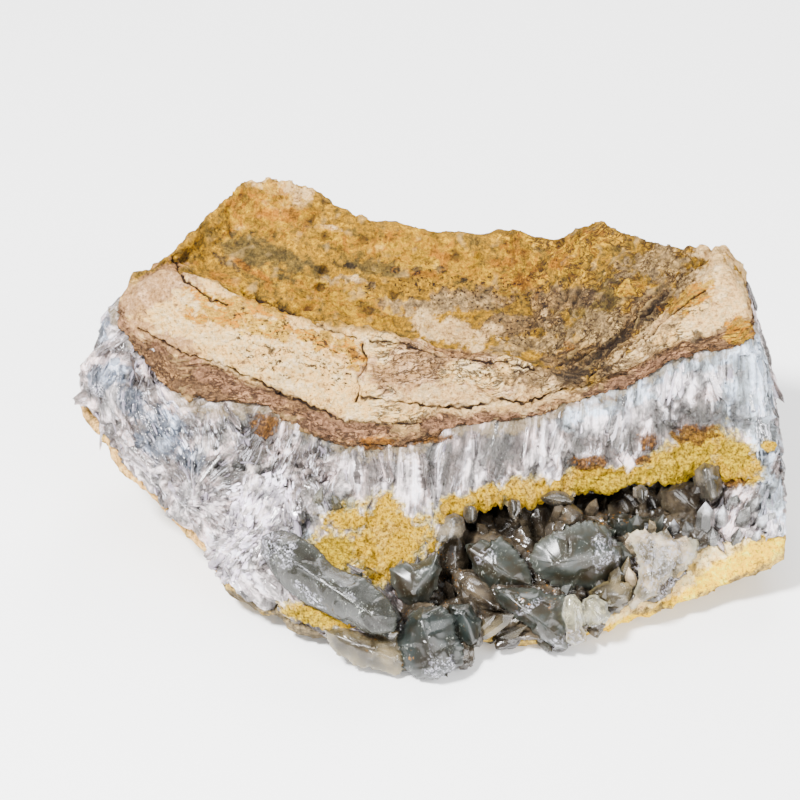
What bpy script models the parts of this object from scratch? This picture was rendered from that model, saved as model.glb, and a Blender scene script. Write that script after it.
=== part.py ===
# Rough celestite: a broken piece of a crystal-lined vein, about 150 mm wide.
# X runs to the right, the broken front faces -Y, +Z is up, and the piece rests on z = 0.
# Four grown layers, from the top: tan host rock, the celestite band, the crystals in its
# hollow, and the yellow rind underneath. Points are in millimetres until a mesh is made.

import bmesh
import bpy
import numpy as np
from mathutils import Matrix, Vector, noise

MM = 0.001
STATIONS = 41            # cross-sections along X
STATION_JITTER = 0.28    # share of the spacing by which a section may wander
GAP = 0.3                # between two layers, and between the crust and what carries it
COARSE_GRAIN, COARSE_RELIEF = 13.0, 2.2
FINE_GRAIN, FINE_RELIEF = 4.5, 1.1
COLUMN_RELIEF = 0.9      # upright crystal columns on the front of the band
LEDGE_RELIEF = 0.9       # thin layers between the cream block and the band
GRANULE_GRAIN, GRANULE_RELIEF = 3.1, 0.9
CRACK_X, CRACK_WIDTH, CRACK_DEPTH = -14.5, 2.2, 1.8
CAP_INSET = 0.5          # the ring of an end cap, as a share of the way to its middle
CAP_GRAIN = 3.0
CRUST_FROM, CRUST_TO = 0.475, 0.89    # share of the length that the hollow takes
CRUST_STATIONS = 15
CRUST_THICK = 1.8
CRUST_EDGE = 0.4         # thickness of the crust where it runs out on the upper edge of the hollow
CRUST_ROOT = 2.4         # how deep the crust's own solid reaches into the rock before it is cut
CRUST_KEEP = 0.8         # share of the crust's faces kept after the cuts
BELLIED_FROM = 8         # crystals this wide or wider have a belly
SMALL_CRYSTALS = 20
SMALL_LONG = (3.2, 5.6)
SMALL_WIDE = (2.4, 4.0)
SMALL_FLATNESS = 0.7     # thickness as a share of the width
SMALL_MARGIN = 0.03      # share of the length kept free of them at both ends of the hollow
SMALL_ROOT = 1.0
ROOF_EVERY = 4           # every such small crystal grows on the back wall
GROUND_BLOCK = (200, 150, 20)
SEED = 7

# Feature lines from the left end to the right end, as (x, y, z).
FRONT_RIM = [
    (-57, 21, 57), (-48, 18.5, 56.3), (-41, 16, 54), (-35, 14, 52), (-31, 13, 50.5), (-20, 10, 48),
    (-14.5, 11, 46.5), (-5, 12, 45), (6, 9, 43), (13, 9, 42.5), (22.5, 7.5, 41.5), (30, 5, 40.5),
    (34, 4, 39.8), (41, 7.5, 42), (45, 9.5, 45), (49.5, 13, 48), (56, 19, 53), (62, 24, 57),
]
SHOULDER = [
    (-65, 14, 49), (-63, 13, 46), (-58, 12, 44), (-53, 9, 42), (-47, 9, 41), (-42, 8, 40),
    (-29, 3, 36), (-23, 1.5, 34), (-15, -1.5, 33), (-6, -1, 33), (3, 1, 33.5), (8, 2, 34),
    (21, 3, 34.5), (30, 6, 36), (35, 7, 37.5), (43, 8, 41), (52, 9.5, 45), (58, 10, 47), (67.5, 13, 50),
]
CONTACT = [
    (-68, 15, 47), (-58, 8, 41), (-53, 4, 36), (-45, 2, 36), (-36, 1, 35), (-27, -3, 33),
    (-19, -7, 30), (-12, -7, 30), (-4, -6, 30), (3, -3, 31), (10, -2, 31.5), (19, 0, 32),
    (26, 1, 33), (34, 4, 35), (43, 6, 37), (52, 9, 41), (58, 10, 43), (64, 10, 44), (69.5, 11.5, 46),
]
LIP = [
    (-75, 12, 34), (-68, 5, 30), (-59, -4, 27), (-50, -12, 25), (-41, -18, 23), (-33, -22, 20),
    (-24.5, -25, 17), (-16, -26, 14), (-8, -27, 12), (-1, -26, 12.5), (4, -17.5, 15), (11, -11, 17),
    (24, -9, 18), (37, -8, 19), (47, -7, 21), (58, -5, 23), (66, -7, 24), (74, -8.5, 24),
]
ROOF_BACK = [
    (-75, 13.5, 32), (-63, -2, 25), (-50, -14, 21), (-34, -27, 17), (-20, -35, 13.5), (-11, -39, 10.5),
    (-6, -22, 12), (2, -8, 14.5), (12, 4, 15.5), (24, 10, 16), (38, 10, 17), (50, 6, 18.5),
    (60, 1, 20.5), (68, -7, 21), (74, -10.5, 21),
]
FLOOR_BACK = [
    (-75.5, 15, 30), (-63, -1, 22), (-50, -15.5, 17), (-34, -31, 11), (-20, -39, 8), (-11, -41, 7),
    (-6, -25, 7), (2, -10, 7), (12, 2, 7), (24, 8, 7.5), (38, 8, 9), (50, 4, 12),
    (60, -3, 16), (68, -10, 18.5), (74, -13, 18.5),
]
SHELF = [
    (-76, 16.5, 28), (-71, 8, 24), (-64, -1, 20), (-56, -8, 16), (-49, -15, 13), (-45, -22, 11),
    (-42, -26, 9), (-35, -31, 7), (-26.5, -34.5, 5.5), (-18, -37, 4.5), (-10, -38, 4), (0, -39, 3.8),
    (7.5, -38, 3.8), (15, -36, 3.8), (27, -36, 3.8), (35, -35, 4.4), (41, -31.5, 6.5), (48, -26, 9.5),
    (57, -20, 13), (66, -20, 15), (74, -18, 15),
]
BASE = [
    (-77, 17, 26), (-72, 8, 21.5), (-64, -1, 17.5), (-57, -7, 13.5), (-51, -13, 10), (-46, -20.5, 7.5),
    (-44, -25, 5.5), (-35, -30, 4), (-26.5, -34, 3), (-18, -36, 2), (-10, -37, 1), (0, -38, 0.5),
    (11, -35.5, 0.8), (21, -35, 1), (30, -35, 1), (36, -34, 1.2), (46, -30, 3), (57, -25.5, 5),
    (66, -22, 7), (74, -19, 9),
]
KEEL_TOP = [
    (-74, 22, 24), (-62, 14, 15), (-48, 10, 8), (-35, 6, 5), (0, 2, 3.8), (25, 0, 3.8), (45, 2, 6),
    (58, 2, 9), (74, 3, 14),
]
KEEL_BOTTOM = [
    (-75, 22, 22.5), (-62, 14, 11.5), (-48, 10, 3.5), (-36, 6, -1.2), (0, 2, -1.6), (25, 0, -1.6),
    (44, 2, -1.2), (57, 2, 3), (74, 3, 9.5),
]
REAR_FLOOR = [
    (-72, 29, 25), (-60, 38, 18), (-45, 44, 14), (-25, 47, 12), (0, 48, 11), (25, 47, 11),
    (50, 43, 12), (74, 26, 15),
]
REAR_BASE = [
    (-73, 27, 22.5), (-60, 35, 14), (-45, 40, 8), (-25, 43, 4), (0, 43, 2), (25, 42, 2), (50, 38, 4),
    (74, 24, 10),
]
REAR_MID = [
    (-70, 31, 36), (-60, 40, 38), (-45, 50, 38), (-30, 54, 32), (0, 54, 27), (25, 53, 27),
    (50, 48, 28), (76, 30, 30),
]
REAR_CONTACT = [
    (-67, 20, 48), (-59, 29, 50), (-51, 36, 54), (-44, 43, 57), (-38, 48, 55), (-30, 51, 50),
    (-15, 52, 45), (0, 51, 42), (25, 50, 41), (50, 46, 43), (69.5, 36, 46),
]
REAR_RIM = [
    (-57, 26, 57), (-51, 30, 59), (-47, 36, 61), (-42, 41, 65), (-36, 43, 68), (-31, 42, 67),
    (-23, 38, 64), (-17, 37, 61), (-6, 35, 59.5), (5, 35, 57), (16, 35, 57.5), (27, 34, 57),
    (36, 35, 60), (46, 33, 57), (57, 31, 56.5), (63, 29, 57.5),
]
DISH_FLOOR = [
    (-56.5, 23.5, 56.5), (-45, 24, 50), (-30, 22, 44.5), (-10, 21, 39.5), (10, 20, 37), (25, 17, 36.5),
    (34, 12, 37.5), (45, 18, 44), (55, 24, 51), (62.3, 26.5, 56.5),
]
BED = [
    (-67, 19, 47.5), (-58, 20, 46), (-45, 20, 38), (-30, 20, 33.5), (-10, 20, 31), (10, 20, 30),
    (25, 20, 29.5), (45, 22, 35), (58, 24, 42), (68.5, 24, 46),
]
# How far the cutters of the crust stand out from the rock they stand for, in gaps.
ROCK_GROWTH = [
    (CONTACT, (0, -1, 0)), (LIP, (0, -1.8, -1)), (ROOF_BACK, (0, -2.4, -1.2)), (FLOOR_BACK, (0, -1.8, 1.8)),
    (SHELF, (0, -1.8, 1.8)), (BASE, (0, -1.8, 0)),
]
BLADE_GROWTH = 4

# A crystal of unit size: the height and radii of its body, then how much each further end rises
# and narrows in width and in thickness. The first kind has a belly and a long chisel end.
BELLIED = (0.55, ((0.25, 0.82, 0.78), (0.20, 0.26, 0.2)))
PLAIN = (0.68, ((0.32, 0.3, 0.25),))
FOOT_RADIUS, BODY_RADIUS = 0.4, 0.5

# The big crystals of the hollow: root, tip, width, thickness, and the way a broad side faces.
UP_FRONT, FRONT, UP, LEFT_FRONT = (0, -0.57, 0.82), (0, -1, 0.2), (0, -0.2, 1), (-0.5, -0.6, 0.6)
CAVITY_CRYSTALS = [
    ((26, -28, 6), (38, -13, 15), 16, 7.5, UP_FRONT),
    ((30, -24, 5), (29, -13, 17), 13, 7, UP_FRONT),
    ((26, -22, 6), (8, -17, 13), 10, 6, UP_FRONT),
    ((30, -32, 4), (13.5, -28, 9), 10, 5.5, UP_FRONT),
    ((24, -27, 7), (27.5, -39.5, 1.6), 10, 7, FRONT),
    ((32, -25, 6), (30.5, -38, 3), 5, 4, FRONT),
    ((36, -25, 6), (34.5, -37.5, 3.4), 5, 4, FRONT),
    ((38, -24, 7), (39.2, -32.8, 6.6), 4.8, 4, FRONT),
    ((19, -15, 8), (10.5, -13.5, 13.5), 4, 3, UP_FRONT),
    ((16, -10, 6), (11, -8, 12), 7, 5, UP_FRONT),
    ((21, -9, 6), (15.5, -5, 12), 7, 5, UP_FRONT),
    ((22, -12, 6), (24.5, -2, 13.5), 9, 5, UP_FRONT),
    ((9, -8, 20), (9.3, -11.5, 13.5), 4, 3.5, FRONT),
    ((5, -11, 19), (4.2, -16, 12), 4.5, 4, FRONT),
    ((18, -6.5, 20.5), (19, -9.5, 13.5), 3, 3, FRONT),
    ((28, -4, 21), (27.5, -8, 15), 7, 4.5, FRONT),
    ((-2, -22, 15), (-3, -31, 6.5), 11, 9, FRONT),
    ((14, -29, 5), (5, -23, 10), 8, 5, UP),
    ((0, -34, 6), (1, -47.5, 1.2), 8, 6, UP_FRONT),
    ((1, -35, 6), (8.5, -44.5, 1.6), 8, 5, UP_FRONT),
    ((2, -33, 6), (11, -40.5, 5), 7, 4.5, UP_FRONT),
    ((-2, -34, 6), (-7, -45, 2), 8, 6, UP_FRONT),
    ((-3, -30, 5), (0, -40, 9), 8, 6, UP_FRONT),
    ((-9, -33, 5), (-18, -40.5, 2.8), 7, 5, UP_FRONT),
    ((-8, -34, 5), (-13, -43, 2), 7, 5, UP_FRONT),
    ((22, -30, 4), (10.5, -36, 4.5), 5.5, 4, UP_FRONT),
    ((22, -31, 3.5), (14, -39, 2.4), 5, 4, UP_FRONT),
    ((36, -4, 6), (34.5, 2, 12), 7, 5, UP_FRONT),
    ((42, -3, 7), (42, 2, 14.5), 6, 6, UP_FRONT),
    ((51, -4, 10), (52, 1, 17.5), 11, 6, UP_FRONT),
    ((61, 0, 23), (59, -8, 14.5), 7, 5, FRONT),
    ((51, -11, 8), (48, -8, 14.5), 5, 3.5, UP_FRONT),
    ((58, -15, 10), (50.5, -12, 15.5), 6, 3.5, UP_FRONT),
    ((61, -14, 11), (59, -8.5, 18.5), 4.5, 4, UP_FRONT),
    ((52, -25, 8), (42, -16.5, 14.5), 11, 6, UP_FRONT),
    ((50, -24, 8), (43.5, -29, 9), 8, 5, UP_FRONT),
    ((60, -17, 12), (55, -17, 17.5), 6, 4.5, UP_FRONT),
    ((63, -14, 14), (65, -9.5, 20), 6, 4, UP_FRONT),
    ((61, -17, 13), (66.5, -17.5, 18.5), 5.5, 4, UP_FRONT),
]
# Long grey blades that lie over the lower left of the band.
TONGUE_CRYSTALS = [
    ((-38, -20, 18), (-8.5, -40.5, 9.5), 12, 8, LEFT_FRONT),
    ((-30, -22, 16), (-11.5, -33, 14.5), 7.6, 6, LEFT_FRONT),
    ((-46, -12, 21), (-30, -31.5, 12.5), 9, 6, LEFT_FRONT),
]

rng = np.random.default_rng(SEED)
noise.seed_set(SEED)


def clear_scene():
    for thing in list(bpy.data.objects):
        bpy.data.objects.remove(thing, do_unlink=True)


def new_collection(name):
    found = bpy.data.collections.new(name)
    bpy.context.scene.collection.children.link(found)
    return found


def finish_of(name, colour, roughness):
    material = bpy.data.materials.new(name)
    material.use_nodes = True
    shader = material.node_tree.nodes["Principled BSDF"]
    shader.inputs["Base Color"].default_value = (*colour, 1)
    shader.inputs["Roughness"].default_value = roughness
    shader.inputs["Metallic"].default_value = 0.0
    return material


def shares():
    """Where the cross-sections stand, from 0 at the left end to 1 at the right."""
    even = np.linspace(0, 1, STATIONS)
    wander = rng.uniform(-STATION_JITTER, STATION_JITTER, STATIONS) / (STATIONS - 1)
    wander[[0, -1]] = 0
    return even + wander


def along(rail, share):
    """The point of a feature line at a share of its own length along X."""
    points = np.array(rail, float)
    x = points[0, 0] + (points[-1, 0] - points[0, 0]) * share
    return Vector((x, np.interp(x, points[:, 0], points[:, 1]), np.interp(x, points[:, 0], points[:, 2])))


def roughened(point):
    """One field of broken-rock relief, so that two layers that meet keep meeting."""
    coarse = noise.noise_vector(point / COARSE_GRAIN) * COARSE_RELIEF
    fine = noise.noise_vector(point / FINE_GRAIN) * FINE_RELIEF
    return point + coarse + fine


def strip(start, end, count, bow=(0, 0, 0), relief=None, backwards=False):
    """One band of a cross-section: count steps from a rail to the next, bowed outwards.

    Two layers that meet share a strip, which one of them runs through backwards."""
    return {
        "start": start, "end": end, "count": count, "bow": Vector(bow), "relief": relief,
        "backwards": backwards,
    }


def section(strips, share, station, pushes=()):
    """The closed ring of points of a cross-section. Pushes move the points on and near a rail."""
    ring = []
    for band in strips:
        first, last = along(band["start"], share), along(band["end"], share)
        first_push = sum((Vector(way) for rail, way in pushes if rail is band["start"]), Vector())
        last_push = sum((Vector(way) for rail, way in pushes if rail is band["end"]), Vector())
        for step in range(band["count"]):
            across = step / band["count"]
            arch = 4 * across * (1 - across)
            point = first.lerp(last, across) + band["bow"] * arch
            if band["relief"]:
                point += band["relief"](point, across, station) * min(1, 2 * arch)
            ring.append(roughened(point) + first_push.lerp(last_push, across) * GAP)
    return ring


# Relief of single bands, as a push in millimetres.
column_push = rng.uniform(-1, 1, STATIONS)
ledge_push = rng.uniform(0.4, 1, STATIONS)


def columns(point, across, station):
    return Vector((0, -1, 0.2)) * COLUMN_RELIEF * column_push[station]


def ledges(point, across, station):
    outwards = 1 if across > 0.5 else -1
    return Vector((0, -0.8, 0.3)) * LEDGE_RELIEF * outwards * ledge_push[station]


def cream_block(point, across, station):
    crack = max(0, 1 - abs(point.x - CRACK_X) / CRACK_WIDTH)
    return Vector((0, 1, -0.3)) * CRACK_DEPTH * crack


def granules(point, across, station):
    return noise.noise_vector(point / GRANULE_GRAIN) * GRANULE_RELIEF


HOST_STRIPS = [
    strip(FRONT_RIM, SHOULDER, 4, (0, -1.2, 0.8), cream_block),
    strip(SHOULDER, CONTACT, 3, (0, -0.4, 0.3), ledges),
    strip(CONTACT, BED, 2),
    strip(BED, REAR_CONTACT, 2),
    strip(REAR_CONTACT, REAR_RIM, 4, (0, 0.9, 0.4), granules),
    strip(REAR_RIM, DISH_FLOOR, 5, (0, 1.6, -2.6), granules),
    strip(DISH_FLOOR, FRONT_RIM, 4, (0, 0.6, -1.2), granules),
]
CELESTITE_STRIPS = [
    strip(CONTACT, LIP, 6, (0, -1.6, 1.2), columns),
    strip(LIP, ROOF_BACK, 3),
    strip(ROOF_BACK, FLOOR_BACK, 2, (0, 0.6, 0)),
    strip(FLOOR_BACK, SHELF, 4),
    strip(SHELF, KEEL_TOP, 3),
    strip(KEEL_TOP, REAR_FLOOR, 3),
    strip(REAR_FLOOR, REAR_MID, 3, (0, 1, 0), columns),
    strip(REAR_MID, REAR_CONTACT, 3, (0, 1, 0.4), columns),
    strip(REAR_CONTACT, BED, 2, backwards=True),
    strip(BED, CONTACT, 2, backwards=True),
]
RIND_TOP_STRIPS = [strip(SHELF, KEEL_TOP, 3), strip(KEEL_TOP, REAR_FLOOR, 3)]
RIND_OUTER_STRIPS = [
    strip(SHELF, BASE, 1),
    strip(BASE, KEEL_BOTTOM, 2, (0, -1.5, -0.6)),
    strip(KEEL_BOTTOM, REAR_BASE, 2, (0, 1, -0.6)),
    strip(REAR_BASE, REAR_FLOOR, 1),
]
# Band and rind as one solid, for the cut that fits the crust to both. The rind runs its outer
# strips the other way round.
TURNED_RIND = [{**band, "backwards": True} for band in RIND_OUTER_STRIPS]
ROCK_STRIPS = CELESTITE_STRIPS[:4] + TURNED_RIND + CELESTITE_STRIPS[6:]


def skin(bm, rings, strips=()):
    """Triangle pairs between neighbouring cross-sections, split the same way in layers that meet."""
    turned = [band["backwards"] for band in strips for step in range(band["count"])]
    turned += [False] * (len(rings[0]) - len(turned))
    for station, (here, there) in enumerate(zip(rings, rings[1:])):
        for i in range(len(here)):
            j = (i + 1) % len(here)
            if (station + turned[i]) % 2:
                bm.faces.new((here[i], here[j], there[j]))
                bm.faces.new((here[i], there[j], there[i]))
            else:
                bm.faces.new((here[i], here[j], there[i]))
                bm.faces.new((here[j], there[j], there[i]))


def domed_cap(bm, ring, bulge):
    """Closes an end with one inset ring and a middle point, swollen by bulge along X."""
    middle = sum((v.co for v in ring), Vector()) / len(ring)
    inner = []
    for i, vert in enumerate(ring):
        point = vert.co.lerp(middle, CAP_INSET)
        push = 0.7 * bulge + 0.5 * noise.noise(vert.co / CAP_GRAIN) * abs(bulge)
        inner.append(bm.verts.new(point + Vector((push, 0, 0))))
    centre = bm.verts.new(middle + Vector((bulge, 0, 0)))
    for i in range(len(ring)):
        j = (i + 1) % len(ring)
        bm.faces.new((ring[i], ring[j], inner[j], inner[i]))
        bm.faces.new((inner[i], inner[j], centre))


def solid_from(bm, name, collection, material=None):
    """Faces outwards, metres, and one object at the origin."""
    bmesh.ops.recalc_face_normals(bm, faces=bm.faces)
    bmesh.ops.scale(bm, vec=(MM, MM, MM), verts=bm.verts)
    mesh = bpy.data.meshes.new(name)
    bm.to_mesh(mesh)
    bm.free()
    thing = bpy.data.objects.new(name, mesh)
    collection.objects.link(thing)
    if material:
        mesh.materials.append(material)
    return thing


def layer(name, strips, bulges, collection, material=None, lower=(), pushes=()):
    """A loft through all stations. Ring points whose strip is in lower sit the gap below their twin."""
    bm = bmesh.new()
    rings = []
    for station, share in enumerate(SHARES):
        ring = [bm.verts.new(p) for p in section(strips, share, station, pushes)]
        rings.append(ring)
    starts = np.cumsum([0] + [band["count"] for band in strips])
    for index in lower:
        for ring in rings:
            for i in range(starts[index], starts[index + 1] + 1):
                vert = ring[i % len(ring)]
                if vert.tag:
                    continue
                vert.co.z -= GAP
                vert.tag = True
    skin(bm, rings, strips)
    domed_cap(bm, rings[0], bulges[0])
    domed_cap(bm, rings[-1], bulges[1])
    return solid_from(bm, name, collection, material)


def rind_layer(name, collection, material):
    """The underside: its top runs parallel to the band's floor, and both ends close strip by strip."""
    bm = bmesh.new()
    rings = []
    tops = []
    for station, share in enumerate(SHARES):
        top = section(RIND_TOP_STRIPS, share, station) + [roughened(along(REAR_FLOOR, share))]
        top = [p - Vector((0, 0, GAP)) for p in top]
        outer = section(RIND_OUTER_STRIPS, share, station)[1:]
        tops.append(len(top))
        rings.append([bm.verts.new(p) for p in top + outer[::-1]])
    skin(bm, rings)
    for ring in (rings[0], rings[-1]):
        top, outer = ring[: tops[0]], ring[tops[0]:][::-1]
        bm.faces.new((top[0], outer[0], top[1]))
        for i in range(len(outer) - 1):
            bm.faces.new((top[i + 1], outer[i], outer[i + 1], top[i + 2]))
        bm.faces.new((top[-2], outer[-1], top[-1]))
    return solid_from(bm, name, collection, material)


def blade(name, root, tip, width, thickness, facing, collection, sides=6, belly=True):
    """A flattened crystal with flat sides and a chisel end."""
    root, tip = Vector(root), Vector(tip)
    axis = (tip - root).normalized()
    length = (tip - root).length
    side = axis.cross(Vector(facing)).normalized()
    front = side.cross(axis).normalized()
    bm = bmesh.new()
    body, ends = BELLIED if belly else PLAIN
    bmesh.ops.create_cone(
        bm, cap_ends=True, segments=sides, radius1=FOOT_RADIUS, radius2=BODY_RADIUS, depth=body,
        matrix=Matrix.Translation((0, 0, body / 2)),
    )
    for height, wide, thick in ends:
        top = max(bm.faces, key=lambda face: face.calc_center_median().z)
        bmesh.ops.inset_region(bm, faces=[top], thickness=0.004, depth=height, use_even_offset=False)
        top = max(bm.faces, key=lambda face: face.calc_center_median().z)
        middle = top.calc_center_median()
        for vert in top.verts:
            vert.co.x = middle.x + (vert.co.x - middle.x) * wide
            vert.co.y = middle.y + (vert.co.y - middle.y) * thick
    place = Matrix((side * width, front * thickness, axis * length)).transposed().to_4x4()
    place.translation = root
    bmesh.ops.transform(bm, matrix=place, verts=bm.verts)
    return solid_from(bm, name, collection)


def hide(thing):
    thing.hide_render = True
    thing.display_type = "WIRE"


def boolean(thing, operation, other=None, group=None, solver="EXACT"):
    step = thing.modifiers.new(operation.lower(), "BOOLEAN")
    step.operation = operation
    step.solver = solver
    if group:
        step.operand_type = "COLLECTION"
        step.collection = group
    else:
        step.object = other


def ground_cutter(collection):
    """A block below z = 0 that leaves the flat face the piece rests on."""
    bm = bmesh.new()
    bmesh.ops.create_cube(bm, size=1)
    bmesh.ops.scale(bm, vec=GROUND_BLOCK, verts=bm.verts)
    bmesh.ops.translate(bm, vec=(0, 0, -GROUND_BLOCK[2] / 2), verts=bm.verts)
    return solid_from(bm, "ground_cutter", collection)


def lining(collection, material):
    """The crust under the crystals: a shell along the wall of the hollow, to be cut by the rock."""
    root, thick = CRUST_ROOT, CRUST_THICK
    inside = [
        (LIP, (0, root, root)), (ROOF_BACK, (0, root, root)), (FLOOR_BACK, (0, root, -root)),
        (SHELF, (0, root, -root)),
    ]
    outside = [
        (FLOOR_BACK, (0, -thick, thick)), (ROOF_BACK, (0, -thick, -thick)), (LIP, (0, -CRUST_EDGE, -thick)),
    ]
    bm = bmesh.new()
    rings = []
    for share in np.linspace(CRUST_FROM, CRUST_TO, CRUST_STATIONS):
        ring = [roughened(along(rail, share)) + Vector(way) for rail, way in inside]
        ring.append(roughened(along(SHELF, share)) + Vector((0, -thick, thick)))
        between = along(SHELF, share).lerp(along(FLOOR_BACK, share), 0.5)
        ring.append(roughened(between) + Vector((0, 0, thick)))
        ring += [roughened(along(rail, share)) + Vector(way) for rail, way in outside]
        rings.append([bm.verts.new(p) for p in ring])
    skin(bm, rings)
    for ring in (rings[0], rings[-1]):
        bm.faces.new(ring)
    return solid_from(bm, "cavity_crystals", collection, material)


def small_crystals(collection):
    """Short crystals strewn over the shelf and the back of the hollow, each leaning its own way."""
    for number in range(SMALL_CRYSTALS):
        share = rng.uniform(CRUST_FROM + SMALL_MARGIN, CRUST_TO - SMALL_MARGIN)
        across = rng.uniform(0.05, 0.95)
        if number % ROOF_EVERY:
            foot = along(SHELF, share).lerp(along(FLOOR_BACK, share), across)
            up = Vector((rng.uniform(-0.6, 0.6), rng.uniform(-0.8, 0.2), 1))
        else:
            foot = along(FLOOR_BACK, share).lerp(along(ROOF_BACK, share), across)
            up = Vector((rng.uniform(-0.6, 0.6), -1, rng.uniform(-0.3, 0.5)))
        long = rng.uniform(*SMALL_LONG)
        wide = rng.uniform(*SMALL_WIDE)
        facing = (rng.uniform(-1, 1), -0.6, 0.8)
        root = foot - up.normalized() * SMALL_ROOT
        tip = foot + up.normalized() * (long + CRUST_THICK)
        blade(
            f"small_crystal_{number:02d}", root, tip, wide, wide * SMALL_FLATNESS, facing, collection,
            sides=5, belly=False,
        )


def largest_body(thing):
    """Applies the modifiers, and drops crumbs that a cut left loose."""
    graph = bpy.context.evaluated_depsgraph_get()
    mesh = bpy.data.meshes.new_from_object(thing.evaluated_get(graph))
    thing.modifiers.clear()
    thing.data = mesh
    bm = bmesh.new()
    bm.from_mesh(mesh)
    islands, seen = [], set()
    for start in bm.faces:
        if start in seen:
            continue
        island, front = {start}, [start]
        while front:
            for edge in front.pop().edges:
                for other in edge.link_faces if len(edge.link_faces) == 2 else ():
                    if other not in island:
                        island.add(other)
                        front.append(other)
        seen |= island
        islands.append(island)
    keep = max(islands, key=len)
    bmesh.ops.delete(bm, geom=[face for face in bm.faces if face not in keep], context="FACES")
    bm.to_mesh(mesh)
    bm.free()


clear_scene()
PIECE = new_collection("rough_celestite")
CUTTERS = new_collection("cutters")
BLADES = new_collection("blades")
TONGUE = new_collection("tongue_blades")
SHARES = shares()

host_rock = layer(
    "host_rock", HOST_STRIPS, (-1.5, 1.5), PIECE, finish_of("tan_rock", (0.42, 0.29, 0.14), 0.85),
)
band = layer(
    "celestite", CELESTITE_STRIPS, (-1.2, 2.5), PIECE,
    finish_of("pale_celestite", (0.55, 0.58, 0.62), 0.35), lower=(8, 9),
)
rind = rind_layer("rind", PIECE, finish_of("yellow_rind", (0.62, 0.47, 0.16), 0.8))
ground = ground_cutter(CUTTERS)
boolean(rind, "DIFFERENCE", ground)

for number, spec in enumerate(TONGUE_CRYSTALS):
    hide(blade(f"tongue_{number}", *spec, TONGUE))
boolean(band, "UNION", group=TONGUE, solver="MANIFOLD")
largest_body(band)

layer("rock_cutter", ROCK_STRIPS, (-1.2, 2.5), CUTTERS, pushes=ROCK_GROWTH)
for number, (root, tip, width, thickness, facing) in enumerate(TONGUE_CRYSTALS):
    wide, thick = width + BLADE_GROWTH * GAP, thickness + BLADE_GROWTH * GAP
    blade(f"tongue_cutter_{number}", root, tip, wide, thick, facing, CUTTERS)
for cutter in CUTTERS.objects:
    hide(cutter)

crust = lining(PIECE, finish_of("smoky_crystal", (0.20, 0.22, 0.19), 0.2))
for number, spec in enumerate(CAVITY_CRYSTALS):
    blade(f"crystal_{number:02d}", *spec, BLADES, belly=spec[2] >= BELLIED_FROM)
small_crystals(BLADES)
for crystal in BLADES.objects:
    hide(crystal)
boolean(crust, "UNION", group=BLADES, solver="MANIFOLD")
boolean(crust, "DIFFERENCE", group=CUTTERS, solver="MANIFOLD")
largest_body(crust)
thin = crust.modifiers.new("thin", "DECIMATE")
thin.ratio = CRUST_KEEP
largest_body(crust)
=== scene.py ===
import math

import bmesh
import bpy
import numpy as np
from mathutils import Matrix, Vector, noise
from mathutils.bvhtree import BVHTree


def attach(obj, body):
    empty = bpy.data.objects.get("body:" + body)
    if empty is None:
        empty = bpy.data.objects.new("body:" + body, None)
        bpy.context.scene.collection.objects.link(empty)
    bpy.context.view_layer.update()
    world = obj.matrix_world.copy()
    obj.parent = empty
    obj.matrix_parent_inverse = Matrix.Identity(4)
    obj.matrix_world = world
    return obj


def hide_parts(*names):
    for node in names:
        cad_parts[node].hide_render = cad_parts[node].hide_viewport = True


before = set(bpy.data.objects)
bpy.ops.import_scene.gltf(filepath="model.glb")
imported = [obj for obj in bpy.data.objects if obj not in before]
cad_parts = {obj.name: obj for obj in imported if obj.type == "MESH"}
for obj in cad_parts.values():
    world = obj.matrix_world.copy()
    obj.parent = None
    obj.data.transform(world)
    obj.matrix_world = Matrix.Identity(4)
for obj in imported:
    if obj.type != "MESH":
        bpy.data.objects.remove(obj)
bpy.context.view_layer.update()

# Rough celestite: a broken piece of a crystal-lined vein. All lengths in this script are in
# millimetres until a mesh is written, and pixels are those of the 800 x 800 photograph.
mm = 0.001
noise.seed_set(7)

view = {
    "target": (-5.8, 0.0, 37.4), "elevation": 35.0, "distance": 500.0,
    "lens": 106.65, "sensor": 36.0, "pixels": 800,
    # A pixel whose ray misses the piece is moved towards this one, in small steps
    "inside": (400, 420), "nudge": 0.01, "nudges": 11,
}
slope = math.radians(view["elevation"])
sideways = Vector((1, 0, 0))
upwards = Vector((0, math.sin(slope), math.cos(slope)))
towardsEye = Vector((0, -math.cos(slope), math.sin(slope)))
rightWay, upWay, eyeWay = (np.array(way) for way in (sideways, upwards, towardsEye))
eye = Vector(view["target"]) + towardsEye * view["distance"]
focal = view["lens"] / view["sensor"] * view["pixels"]
pixelsPerMm = focal / view["distance"]

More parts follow.
